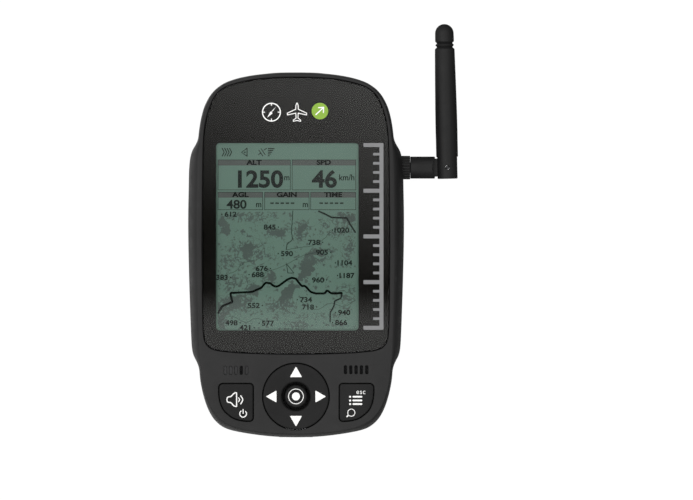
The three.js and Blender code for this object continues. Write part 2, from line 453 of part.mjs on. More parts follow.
const knuckle = new THREE.Group();
knuckle.position.set(PIN_X, 0, 0);
antenna.add(knuckle);
add(knuckle, 'antenna_pin', rod(0.8, -3.9, 3.9, 12, 'z'), STEEL);
const lean = new THREE.Group();
lean.rotation.z = rad(WHIP_LEAN);
knuckle.add(lean);
const whipProfile = [[0, -4.2], [3.9, -4.2], [WHIP_R, -3.9], [WHIP_R, 10], [3.94, 25.6], [3.79, 35], [3.62, 44.5], [3.62, 44.85], [2.92, 45.4], [3.45, 46.0], [3.45, 46.3], [2.9, 46.9], [3.55, 47.5], [3.5, 50.6]];
for (const a of [22, 44, 66]) whipProfile.push([3.5 * Math.cos(rad(a)), 50.6 + 3.5 * Math.sin(rad(a))]);
whipProfile.push([0, 54.1]);
let whip = solid(turned(whipProfile, 22, 'y'));
whip = whip.subtract(solid(turned([[0, 2], [2.4, 2], [2.4, 49], [1.2, 51], [0, 51]], 12, 'y')));
whip = whip.subtract(solid(box(-6, -6, -1.65, 6, 4.1, 1.65)));
// The knuckle's lower corner is rounded so that it clears the base as it turns.
whip = whip.subtract(solid(box(-7, -7, -6, 0, 0, 6)).subtract(solid(rod(5.5, -7, 7, 48, 'z'))));
whip = whip.subtract(solid(rod(1.1, -6, 6, 14, 'z')));
add(lean, 'antenna_whip', whip, PLASTIC);
add(lean, 'antenna_radiator', rod(2.0, 5.0, 48.6, 12, 'y'), GOLD);

export default group;
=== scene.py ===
"""Looks of the portable aviation GPS navigator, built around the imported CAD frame.

All shapes are worked out in millimetres in the frame of the CAD model and turned into metres
when a mesh is made.  +X right of the screen, +Y top of the screen, +Z out of the screen.
"""
import math

import bmesh
import bpy
import numpy as np
from mathutils import Matrix, Vector
from mathutils.geometry import delaunay_2d_cdt


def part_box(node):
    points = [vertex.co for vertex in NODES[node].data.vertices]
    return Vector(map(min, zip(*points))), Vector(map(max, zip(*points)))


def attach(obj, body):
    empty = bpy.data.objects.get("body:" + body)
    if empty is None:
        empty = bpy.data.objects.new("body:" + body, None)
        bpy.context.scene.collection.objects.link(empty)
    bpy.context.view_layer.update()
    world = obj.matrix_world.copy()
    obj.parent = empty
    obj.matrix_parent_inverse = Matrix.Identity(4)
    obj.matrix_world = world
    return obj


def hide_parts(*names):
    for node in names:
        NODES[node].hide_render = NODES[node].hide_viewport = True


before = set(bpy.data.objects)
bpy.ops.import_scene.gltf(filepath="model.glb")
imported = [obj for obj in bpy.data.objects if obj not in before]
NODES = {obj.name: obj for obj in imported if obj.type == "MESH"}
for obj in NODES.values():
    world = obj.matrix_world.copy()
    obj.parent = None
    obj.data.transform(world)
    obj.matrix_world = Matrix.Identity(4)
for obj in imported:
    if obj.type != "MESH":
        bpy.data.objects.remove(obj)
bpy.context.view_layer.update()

# ------------------------------------------------------------------ dimensions
DEPTH, CROWN_R = 24.0, 900.0
Z_PART_REAR, Z_PART_FRONT = 16.22, 16.28
Z_WIDEST, BACK_R = 12.0, 9.0
SPINE = 38.0
DECK_Y = -53.15
ANT_Y, ANT_Z, PIN_X = 32.9, 10.8, 56.98
WHIP_LEAN = 1.28
FULL = [[0, 68.67], [7.55, 68.54], [11.32, 68.18], [15.1, 67.76], [18.88, 67.14], [22.65, 66.25], [26.43, 64.89], [28.31, 63.8], [30.2, 62.38], [32.09, 60.29], [33.22, 58.47], [34.16, 56.59], [34.88, 54.7], [35.84, 50.92], [36.45, 47.15], [36.73, 44.51], [37.07, 43.0], [37.79, 41.49], [38.96, 39.6], [39.66, 37.71], [40.03, 35.82], [40.35, 32.05], [40.51, 24.5], [40.66, 16.95], [40.68, 9.4], [40.58, 1.85], [40.41, -5.7], [40.2, -13.25], [39.94, -20.8], [39.66, -28.35], [39.37, -34.01], [39.15, -35.9], [38.67, -37.79], [37.67, -39.68], [36.81, -41.56], [36.37, -43.45], [36.16, -46.09], [35.71, -49.11], [34.86, -52.89], [33.69, -56.66], [32.13, -60.06], [30.56, -62.33], [27.92, -64.59], [25.42, -65.72], [20.44, -66.86], [11.7, -68.1], [5.66, -68.55], [0, -68.67]]
CORE = FULL[:16] + [[36.98, 30], [37.15, 10], [37.18, 1.85], [37.1, -15], [36.9, -30], [36.6, -41]] + FULL[35:]
FACE = [[0, 67.76], [7.55, 67.65], [11.32, 67.35], [15.1, 66.97], [18.88, 66.29], [22.65, 65.42], [26.43, 64.02], [29.07, 62.17], [30.58, 60.63], [32.09, 58.47], [33.33, 55.83], [34.35, 52.81], [35.03, 49.41], [35.6, 45.26], [35.98, 41.49], [36.16, 35.82], [36.35, 24.5], [36.5, 9.4], [36.47, -1.93], [36.28, -17.03], [36.01, -28.35], [35.79, -35.9], [35.6, -40.43], [35.3, -44.21], [34.81, -47.98], [33.86, -51.76], [32.58, -55.34], [30.96, -58.36], [29.07, -60.66], [26.61, -62.63], [23.41, -64.14], [19.63, -65.27], [13.59, -66.25], [6.79, -66.78], [0, -66.97]]
WINDOW = [[0, 66.7], [7.55, 66.59], [11.32, 66.33], [15.1, 65.95], [18.88, 65.27], [22.65, 64.36], [26.43, 63.0], [28.69, 61.49], [29.82, 60.36], [30.96, 58.66], [32.65, 54.7], [33.71, 50.92], [34.35, 47.15], [34.65, 43.37], [34.81, 39.6], [34.99, 28.27], [35.15, 13.17], [35.18, 1.85], [35.07, -13.25], [34.88, -24.58], [34.69, -29.11], [34.24, -32.13], [33.03, -34.2], [31.71, -35.15], [29.82, -35.79], [26.43, -36.28], [20.76, -36.73], [13.21, -37.03], [5.66, -37.18], [0, -37.22]]
KEY_CURVE = [[-28.9, -51.6], [-28.75, -53.4], [-28.3, -55.6], [-27.1, -58.2], [-25.4, -59.9], [-23.7, -61.1], [-21.5, -61.95], [-19.2, -62.32], [-17.9, -62.4]]
KEY_MIRROR_X = 0.13
# display opening in the printed border
VIEW_X0, VIEW_X1, VIEW_Y0, VIEW_Y1 = -30.0, 23.54, -28.35, 42.0


def crown(y):
    return DEPTH - y * y / (2 * CROWN_R)


# -------------------------------------------------------------------- 2D tools
def smooth_line(points, sub=8, closed=False, mirror_ends=False):
    """Centripetal Catmull-Rom through the points."""
    p = [np.array(q, float) for q in points]
    if closed:
        ext = [p[-1]] + p + [p[0], p[1]]
    elif mirror_ends:
        ext = [p[1] * [-1, 1]] + p + [p[-2] * [-1, 1]]
    else:
        ext = [2 * p[0] - p[1]] + p + [2 * p[-1] - p[-2]]
    out = []
    for i in range(1, len(ext) - 2):
        p0, p1, p2, p3 = ext[i - 1], ext[i], ext[i + 1], ext[i + 2]
        t0 = 0.0
        t1 = t0 + max(np.linalg.norm(p1 - p0), 1e-6) ** 0.5
        t2 = t1 + max(np.linalg.norm(p2 - p1), 1e-6) ** 0.5
        t3 = t2 + max(np.linalg.norm(p3 - p2), 1e-6) ** 0.5
        for k in range(sub):
            t = t1 + (t2 - t1) * k / sub
            a1 = (t1 - t) / (t1 - t0) * p0 + (t - t0) / (t1 - t0) * p1
            a2 = (t2 - t) / (t2 - t1) * p1 + (t - t1) / (t2 - t1) * p2
            a3 = (t3 - t) / (t3 - t2) * p2 + (t - t2) / (t3 - t2) * p3
            b1 = (t2 - t) / (t2 - t0) * a1 + (t - t0) / (t2 - t0) * a2
            b2 = (t3 - t) / (t3 - t1) * a2 + (t - t1) / (t3 - t1) * a3
            out.append((t2 - t) / (t2 - t1) * b1 + (t - t1) / (t2 - t1) * b2)
    if not closed:
        out.append(ext[-2])
    return np.array(out)


def resample(line, step, closed=False):
    line = np.asarray(line, float)
    if closed:
        line = np.vstack([line, line[:1]])
    seg = np.linalg.norm(np.diff(line, axis=0), axis=1)
    s = np.concatenate([[0], np.cumsum(seg)])
    n = max(3, int(round(s[-1] / step)))
    t = np.linspace(0, s[-1], n + 1)
    out = np.stack([np.interp(t, s, line[:, k]) for k in range(2)], 1)
    return out[:-1] if closed else out


def ccw(loop):
    x, y = loop[:, 0], loop[:, 1]
    area = np.sum(x * np.roll(y, -1) - y * np.roll(x, -1))
    return loop if area > 0 else loop[::-1]


def grow(loop, d):
    """Outward offset of a counter-clockwise closed loop, point by point."""
    t = np.roll(loop, -1, 0) - np.roll(loop, 1, 0)
    t /= np.maximum(np.linalg.norm(t, axis=1, keepdims=True), 1e-9)
    return loop + np.stack([t[:, 1], -t[:, 0]], 1) * d


def rounded_rect(x0, y0, x1, y1, r, n=8, step=None):
    out = []
    for cx, cy, a0 in ((x1 - r, y0 + r, -90), (x1 - r, y1 - r, 0), (x0 + r, y1 - r, 90), (x0 + r, y0 + r, 180)):
        for i in range(n + 1):
            a = math.radians(a0 + 90 * i / n)
            out.append([cx + r * math.cos(a), cy + r * math.sin(a)])
    out = np.array(out)
    if step:
        full = []
        for i in range(len(out)):
            a, b = out[i], out[(i + 1) % len(out)]
            k = max(1, int(np.linalg.norm(b - a) / step))
            full += [a + (b - a) * j / k for j in range(k)]
        out = np.array(full)
    return out


def circle(cx, cy, r, n=64, start=0.0):
    a = np.linspace(0, 2 * math.pi, n, endpoint=False) + start
    return np.stack([cx + r * np.cos(a), cy + r * np.sin(a)], 1)


def inside(points, loop):
    x, y = points[:, 0], points[:, 1]
    ok = np.zeros(len(points), bool)
    n = len(loop)
    for i in range(n):
        x0, y0 = loop[i]
        x1, y1 = loop[(i + 1) % n]
        cross = (y0 > y) != (y1 > y)
        if cross.any():
            xi = (x1 - x0) * (y - y0) / ((y1 - y0) if y1 != y0 else 1e-12) + x0
            ok ^= cross & (x < xi)
    return ok


def fill(outer, holes=(), grid=None, margin=None):
    """Triangles of a region with holes, with grid points strewn inside.  Returns (points, triangles)."""
    pts, edges = [], []
    for loop in [outer, *holes]:
        base = len(pts)
        pts += [Vector((float(a), float(b))) for a, b in loop]
        edges += [(base + i, base + (i + 1) % len(loop)) for i in range(len(loop))]
    if grid:
        m = margin if margin is not None else grid * 0.45
        lo, hi = outer.min(0), outer.max(0)
        gx = np.arange(lo[0] + grid / 2, hi[0], grid)
        gy = np.arange(lo[1] + grid / 2, hi[1], grid)
        g = np.array([[a + (grid / 2 if j % 2 else 0), b] for j, b in enumerate(gy) for a in gx])
        keep = inside(g, outer)
        for h in holes:
            keep &= ~inside(g, h)
        g = g[keep]
        border = np.vstack([outer, *holes])
        far = []
        for i in range(0, len(g), 400):
            d = np.linalg.norm(g[i:i + 400, None] - border[None], axis=2).min(1)
            far.append(d > m)
        if len(g):
            g = g[np.concatenate(far)]
        pts += [Vector((float(a), float(b))) for a, b in g]
    v, _, f, _, _, _ = delaunay_2d_cdt(pts, edges, [], 0, 1e-7)
    v = np.array([[q.x, q.y] for q in v])
    f = np.array([list(t) for t in f if len(t) == 3])
    c = v[f].mean(1)
    keep = inside(c, outer)
    for h in holes:
        keep &= ~inside(c, h)
    f = f[keep]
    a, b, d = v[f[:, 0]], v[f[:, 1]], v[f[:, 2]]
    area = (b[:, 0] - a[:, 0]) * (d[:, 1] - a[:, 1]) - (b[:, 1] - a[:, 1]) * (d[:, 0] - a[:, 0])
    f[area < 0] = f[area < 0][:, ::-1]
    return v, f[np.abs(area) > 1e-9]


def stroke(points, width, sub=6, smooth=True, caps=6):
    """Outline of a pen line with round ends, as one closed loop."""
    line = smooth_line(points, sub) if smooth and len(points) > 2 else np.array(points, float)
    t = np.gradient(line, axis=0)
    t /= np.maximum(np.linalg.norm(t, axis=1, keepdims=True), 1e-9)
    nrm = np.stack([-t[:, 1], t[:, 0]], 1) * width / 2
    left, right = line + nrm, line - nrm
    out = list(left)
    a0 = math.atan2(nrm[-1][1], nrm[-1][0])
    for k in range(1, caps):
        a = a0 - math.pi * k / caps
        out.append(line[-1] + width / 2 * np.array([math.cos(a), math.sin(a)]))
    out += list(right[::-1])
    a0 = math.atan2(-nrm[0][1], -nrm[0][0])
    for k in range(1, caps):
        a = a0 - math.pi * k / caps
        out.append(line[0] + width / 2 * np.array([math.cos(a), math.sin(a)]))
    return ccw(np.array(out))


# -------------------------------------------------------------------- 3D tools
class Build:
    """Collects vertices in millimetres and makes one mesh object of them."""

    def __init__(self):
        self.v, self.f, self.m = [], [], []

    def add(self, verts, faces, mat=0):
        base = len(self.v)
        self.v += [tuple(map(float, q)) for q in verts]
        self.f += [tuple(int(base + i) for i in q) for q in faces]
        self.m += [mat] * len(faces)
        return base

    def rings(self, rings, mat=0, closed=True, flip=False):
        n = len(rings[0])
        verts = [q for r in rings for q in r]
        faces = []
        for k in range(len(rings) - 1):
            for i in range(n if closed else n - 1):
                j = (i + 1) % n
                q = (k * n + i, k * n + j, (k + 1) * n + j, (k + 1) * n + i)
                faces.append(q[::-1] if flip else q)
        return self.add(verts, faces, mat)

    def cap(self, ring, mat=0, flip=False):
        c = np.mean(np.array(ring), axis=0)
        n = len(ring)
        faces = [(n, i, (i + 1) % n) for i in range(n)]
        if flip:
            faces = [q[::-1] for q in faces]
        self.add(list(ring) + [c], faces, mat)

    def sheet(self, outer, holes, height, mat=0, flip=False, grid=None, margin=None):
        v, f = fill(outer, holes, grid, margin)
        z = height(v[:, 0], v[:, 1])
        self.add(np.column_stack([v, z]), f[:, ::-1] if flip else f, mat)

    def make(self, name, mats, matrix=None, weld=2e-4, sharp=32, recalc=False, smooth=True):
        mesh = bpy.data.meshes.new(name)
        pts = self.v if matrix is None else [tuple(matrix @ Vector(q)) for q in self.v]
        mesh.from_pydata([(x / 1000, y / 1000, z / 1000) for x, y, z in pts], [], self.f)
        for m in (mats if isinstance(mats, (list, tuple)) else [mats]):
            mesh.materials.append(m)
        mesh.polygons.foreach_set("material_index", self.m)
        bm = bmesh.new()
        bm.from_mesh(mesh)
        bmesh.ops.remove_doubles(bm, verts=bm.verts, dist=weld / 1000)
        bmesh.ops.dissolve_degenerate(bm, dist=1e-8, edges=bm.edges)
        loose = [q for q in bm.verts if not q.link_faces]
        if loose:
            bmesh.ops.delete(bm, geom=loose, context="VERTS")
        if recalc:
            bmesh.ops.recalc_face_normals(bm, faces=bm.faces)
        bm.to_mesh(mesh)
        bm.free()
        mesh.update()
        ob = bpy.data.objects.new(name, mesh)
        bpy.context.scene.collection.objects.link(ob)
        if smooth:
            shade(ob, sharp)
        return ob


def shade(ob, sharp=32):
    ob.data.polygons.foreach_set("use_smooth", [True] * len(ob.data.polygons))
    ob.data.set_sharp_from_angle(angle=math.radians(sharp))
    ob.data.update()


def cut(ob, cutters, operation="DIFFERENCE", sharp=32):
    """Exact boolean with throw-away cutters, applied."""
    for c in cutters:
        m = ob.modifiers.new("cut", "BOOLEAN")
        m.operation, m.object, m.solver = operation, c, "EXACT"
        dg = bpy.context.evaluated_depsgraph_get()
        mesh = bpy.data.meshes.new_from_object(ob.evaluated_get(dg))
        ob.modifiers.clear()
        old = ob.data
        ob.data = mesh
        bpy.data.meshes.remove(old)
    for c in cutters:
        bpy.data.objects.remove(c)
    shade(ob, sharp)
    return ob


AXES = {
    "z": Matrix.Identity(4),
    "x": Matrix(((0, 0, 1, 0), (1, 0, 0, 0), (0, 1, 0, 0), (0, 0, 0, 1))),
    "y": Matrix(((1, 0, 0, 0), (0, 0, 1, 0), (0, -1, 0, 0), (0, 0, 0, 1))),
}


def turned(name, profile, mat, n=96, axis="z", at=(0, 0, 0), closed=False, matrix=None, sharp=32):
    """Solid of revolution: profile of (radius, height); it starts and ends on the axis, or is a closed ring."""
    b = Build()
    prof = list(profile)
    if closed:
        prof = prof + [prof[0]]
    rings = []
    for r, h in prof:
        a = np.linspace(0, 2 * math.pi, n, endpoint=False)
        rings.append(np.stack([max(r, 0) * np.cos(a), max(r, 0) * np.sin(a), np.full(n, h)], 1))
    b.rings(rings)
    m = Matrix.Translation(at) @ (matrix or Matrix.Identity(4)) @ AXES[axis]
    return b.make(name, mat, matrix=m, sharp=sharp, recalc=True)


def block(name, loop, z0, z1, mat, matrix=None, edge=0.0, steps=3, sharp=32):
    """Prism of a loop with eased rims."""
    b = Build()
    levels = []
    if edge:
        for k in range(steps + 1):
            a = math.pi / 2 * k / steps
            levels.append((edge * (1 - math.sin(a)), z0 + edge * (1 - math.cos(a))))
        for k in range(steps + 1):
            a = math.pi / 2 * k / steps
            levels.append((edge * (1 - math.cos(a)), z1 - edge * (1 - math.sin(a))))
    else:
        levels = [(0, z0), (0, z1)]
    rings = [np.column_stack([grow(loop, -d), np.full(len(loop), z)]) for d, z in levels]
    b.rings(rings)
    low, high = rings[0], rings[-1]
    b.sheet(low[:, :2], [], lambda x, y: np.full(len(x), low[0, 2]), flip=True)
    b.sheet(high[:, :2], [], lambda x, y: np.full(len(x), high[0, 2]))
    return b.make(name, mat, matrix=matrix, sharp=sharp, recalc=True)


# ------------------------------------------------------------------- materials
class Nodes:
    def __init__(self, name):
        self.mat = bpy.data.materials.new(name)
        self.mat.use_nodes = True
        self.t = self.mat.node_tree
        self.t.nodes.clear()
        self.out = self.t.nodes.new("ShaderNodeOutputMaterial")

    def new(self, kind, **values):
        n = self.t.nodes.new(kind)
        for k, v in values.items():
            if k.startswith("_"):
                setattr(n, k[1:], v)
            else:
                n.inputs[k.replace("__", " ")].default_value = v
        return n

    def link(self, a, b):
        self.t.links.new(a, b)

    def coord(self):
        return self.new("ShaderNodeTexCoord").outputs["Object"]

    def noise(self, scale, detail=3.0, rough=0.55, vector=None):
        n = self.new("ShaderNodeTexNoise", Scale=scale, Detail=detail, Roughness=rough)
        self.link(vector or self.coord(), n.inputs["Vector"])
        return n.outputs["Fac"]

    def ramp(self, fac, stops):
        n = self.t.nodes.new("ShaderNodeValToRGB")
        while len(n.color_ramp.elements) > 1:
            n.color_ramp.elements.remove(n.color_ramp.elements[-1])
        for i, (p, c) in enumerate(stops):
            e = n.color_ramp.elements[0] if i == 0 else n.color_ramp.elements.new(p)
            e.position = p
            e.color = (*c, 1) if len(c) == 3 else c
        self.link(fac, n.inputs["Fac"])
        return n.outputs["Color"]

    def range(self, fac, a, b, c, d):
        n = self.new("ShaderNodeMapRange")
        for k, v in zip(("From Min", "From Max", "To Min", "To Max"), (a, b, c, d)):
            n.inputs[k].default_value = v
        self.link(fac, n.inputs["Value"])
        return n.outputs["Result"]

    def math(self, op, a, b=None, c=None):
        n = self.t.nodes.new("ShaderNodeMath")
        n.operation = op
        for i, q in enumerate((a, b, c)):
            if q is None:
                continue
            if isinstance(q, (int, float)):
                n.inputs[i].default_value = q
            else:
                self.link(q, n.inputs[i])
        return n.outputs[0]

    def bump(self, height, distance, strength=1.0, normal=None):
        n = self.new("ShaderNodeBump", Strength=strength, Distance=distance)
        self.link(height, n.inputs["Height"])
        if normal:
            self.link(normal, n.inputs["Normal"])
        return n.outputs["Normal"]

    def mix(self, fac, a, b):
        n = self.t.nodes.new("ShaderNodeMix")
        n.data_type = "RGBA"
        for s, q in ((n.inputs[0], fac), (n.inputs[6], a), (n.inputs[7], b)):
            if isinstance(q, (int, float)):
                s.default_value = q
            elif isinstance(q, (tuple, list)):
                s.default_value = (*q, 1) if len(q) == 3 else q
            else:
                self.link(q, s)
        return n.outputs[2]


def moulded(name, color, rough=(0.38, 0.5), grain=2600, depth=0.00002, spec=0.5, dust=0.25, wear=0.0, coarse=260):
    """Moulded plastic or rubber: fine spark-erosion grain, uneven sheen, a little dust tone."""
    m = Nodes(name)
    p = m.new("ShaderNodeBsdfPrincipled")
    p.inputs["Specular IOR Level"].default_value = spec
    fine = m.noise(grain, 2.0, 0.6)
    mid = m.noise(coarse, 3.0, 0.5)
    big = m.noise(38.0, 3.0, 0.5)
    lighter = tuple(min(1, c * (1 + dust) + 0.0008) for c in color)
    darker = tuple(c * (1 - dust * 0.6) for c in color)
    base = m.mix(m.range(big, 0.35, 0.65, 0, 1), darker, lighter)
    base = m.mix(m.range(fine, 0.3, 0.75, 0.0, 0.35), base, lighter)
    if wear:
        g = m.new("ShaderNodeNewGeometry")
        edge = m.math("MULTIPLY", m.range(g.outputs["Pointiness"], 0.53, 0.60, 0, 1), m.range(mid, 0.4, 0.62, 0, 1))
        base = m.mix(m.math("MULTIPLY", edge, wear), base, tuple(min(1, c * 3 + 0.01) for c in color))
    m.link(base, p.inputs["Base Color"])
    r = m.math("ADD", m.range(mid, 0.3, 0.7, rough[0], rough[1]), m.range(big, 0.3, 0.7, -0.03, 0.03))
    m.link(r, p.inputs["Roughness"])
    h = m.math("ADD", m.math("MULTIPLY", fine, 0.7), m.math("MULTIPLY", mid, 0.3))
    m.link(m.bump(h, depth), p.inputs["Normal"])
    m.link(p.outputs[0], m.out.inputs["Surface"])
    return m.mat


def metal(name, color, rough=(0.22, 0.4), brushed=False):
    m = Nodes(name)
    p = m.new("ShaderNodeBsdfPrincipled", Metallic=1.0)
    if brushed:
        mp = m.new("ShaderNodeMapping")
        mp.inputs["Scale"].default_value = (1, 14, 14)
        m.link(m.coord(), mp.inputs["Vector"])
        f = m.noise(900, 3, 0.6, mp.outputs[0])
    else:
        f = m.noise(900, 3, 0.6)
    tint = m.noise(90, 3, 0.5)
    m.link(m.mix(m.range(tint, 0.3, 0.7, 0, 1), tuple(c * 0.8 for c in color), color), p.inputs["Base Color"])
    m.link(m.range(f, 0.3, 0.7, rough[0], rough[1]), p.inputs["Roughness"])
    m.link(m.bump(f, 0.000015), p.inputs["Normal"])
    m.link(p.outputs[0], m.out.inputs["Surface"])
    return m.mat


def printed(name, color, rough=0.55, spread=0.06, spec=None):
    """Screen-printed ink."""
    m = Nodes(name)
    p = m.new("ShaderNodeBsdfPrincipled")
    n = m.noise(1500, 2, 0.5)
    m.link(m.mix(m.range(n, 0.3, 0.7, 0, 1), tuple(c * (1 - spread) for c in color), tuple(min(1, c * (1 + spread)) for c in color)), p.inputs["Base Color"])
    m.link(m.range(n, 0.3, 0.7, rough - 0.06, rough + 0.06), p.inputs["Roughness"])
    m.link(m.bump(n, 0.000006), p.inputs["Normal"])
    m.link(p.outputs[0], m.out.inputs["Surface"])
    if spec is not None:
        for node in m.t.nodes:
            if node.bl_idname == "ShaderNodeBsdfPrincipled":
                node.inputs["Specular IOR Level"].default_value = spec
    return m.mat


M_FRONT = moulded("front_plastic", (0.0144, 0.0144, 0.0147), (0.42, 0.54), spec=0.22, wear=0.25)
M_REAR = moulded("rear_plastic", (0.0155, 0.0155, 0.0158), (0.44, 0.56), grain=2200, depth=0.00003, spec=0.28, wear=0.25)
M_KEY = moulded("key_plastic", (0.0092, 0.0092, 0.0094), (0.50, 0.60), spec=0.16, wear=0.15)
M_WHIP = moulded("antenna_plastic", (0.0072, 0.0072, 0.0074), (0.44, 0.54), grain=2400, spec=0.22, wear=0.2)
M_RUBBER = moulded("black_rubber", (0.012, 0.012, 0.012), (0.68, 0.82), grain=1800, depth=0.00003, spec=0.3)
M_FOAM = moulded("foam", (0.02, 0.02, 0.021), (0.85, 0.95), grain=900, depth=0.0001, spec=0.2, dust=0.5)
M_CHIP = moulded("chip_black", (0.012, 0.012, 0.013), (0.4, 0.55), grain=3000, spec=0.5)
M_INSERT = moulded("grey_insert", (0.030, 0.030, 0.031), (0.8, 0.9), grain=1500, depth=0.00005, spec=0.2, dust=0.4)
M_STEEL = metal("plain_steel", (0.56, 0.57, 0.59))
M_DARKSTEEL = metal("blackened_steel", (0.045, 0.045, 0.048), (0.3, 0.45))
M_GOLD = metal("gold_plate", (0.80, 0.58, 0.25), (0.16, 0.3))
M_WHITE = printed("white_ink", (0.93, 0.93, 0.92))
M_GREEN = printed("green_ink", (0.245, 0.43, 0.036))
M_GREY = printed("grey_ink", (0.205, 0.207, 0.213), rough=0.5)
# near-black, almost unreflecting colour for the window pane's edge: painted shade of the seam around the window
M_RIM_PAINTED_SHADE = moulded("window_rim_painted_shade", (0.0040, 0.0040, 0.0041), (0.6, 0.7), grain=2400, depth=0.000004, spec=0.05, dust=0.1)
M_BORDER = moulded("window_print", (0.0075, 0.0069, 0.0062), (0.7, 0.8), grain=2000, depth=0.000004, spec=0.0, dust=0.2)


def wire_material(name, a, b):
    m = Nodes(name)
    p = m.new("ShaderNodeBsdfPrincipled")
    n = m.noise(700, 3, 0.5)
    m.link(m.mix(m.range(n, 0.3, 0.7, 0, 1), a, b), p.inputs["Base Color"])
    m.link(m.range(n, 0.3, 0.7, 0.4, 0.6), p.inputs["Roughness"])
    m.link(m.bump(n, 0.00001), p.inputs["Normal"])
    m.link(p.outputs[0], m.out.inputs["Surface"])
    return m.mat


def board_material():
    m = Nodes("circuit_board")
    p = m.new("ShaderNodeBsdfPrincipled")
    brick = m.new("ShaderNodeTexBrick", Scale=420.0)
    brick.inputs["Mortar Size"].default_value = 0.035
    brick.inputs["Color1"].default_value = (0.012, 0.085, 0.035, 1)
    brick.inputs["Color2"].default_value = (0.016, 0.105, 0.045, 1)
    brick.inputs["Mortar"].default_value = (0.03, 0.19, 0.08, 1)
    m.link(m.coord(), brick.inputs["Vector"])
    n = m.noise(300, 3, 0.5)
    m.link(m.mix(m.range(n, 0.4, 0.6, 0, 0.3), brick.outputs["Color"], (0.03, 0.16, 0.07)), p.inputs["Base Color"])
    m.link(m.range(n, 0.3, 0.7, 0.25, 0.4), p.inputs["Roughness"])
    m.link(m.bump(brick.outputs["Fac"], 0.00002), p.inputs["Normal"])
    m.link(p.outputs[0], m.out.inputs["Surface"])
    return m.mat


def px(x, y):
    """Layout grid used for the panel graphics: 0.3775 mm steps from the case centre."""
    return [(x - 296.05) * 0.3775, (254.9 - y) * 0.3775]


def glass_material():
    """Hard-coated clear window: what is behind shows through, with a thin reflection on top."""
    m = Nodes("clear_window")
    clear = m.new("ShaderNodeBsdfTransparent")
    clear.inputs["Color"].default_value = (0.97, 0.98, 0.975, 1)
    gloss = m.new("ShaderNodeBsdfGlossy")
    gloss.inputs["Color"].default_value = (1, 1, 1, 1)
    smear = m.noise(55, 4, 0.6)
    m.link(m.range(smear, 0.35, 0.7, 0.02, 0.04), gloss.inputs["Roughness"])
    fres = m.new("ShaderNodeFresnel", IOR=1.49)
    fac = m.math("MULTIPLY", fres.outputs[0], 0.5)
    mix = m.new("ShaderNodeMixShader")
    m.link(fac, mix.inputs[0])
    m.link(clear.outputs[0], mix.inputs[1])
    m.link(gloss.outputs[0], mix.inputs[2])
    m.link(mix.outputs[0], m.out.inputs["Surface"])
    return m.mat


M_GLASS = glass_material()

SCREEN_LIGHT = (0.118, 0.193, 0.158)
SCREEN_GREY = (0.060, 0.074, 0.069)
SCREEN_DARK = (0.0165, 0.0200, 0.0188)
SCREEN_BAR = (0.098, 0.106, 0.102)


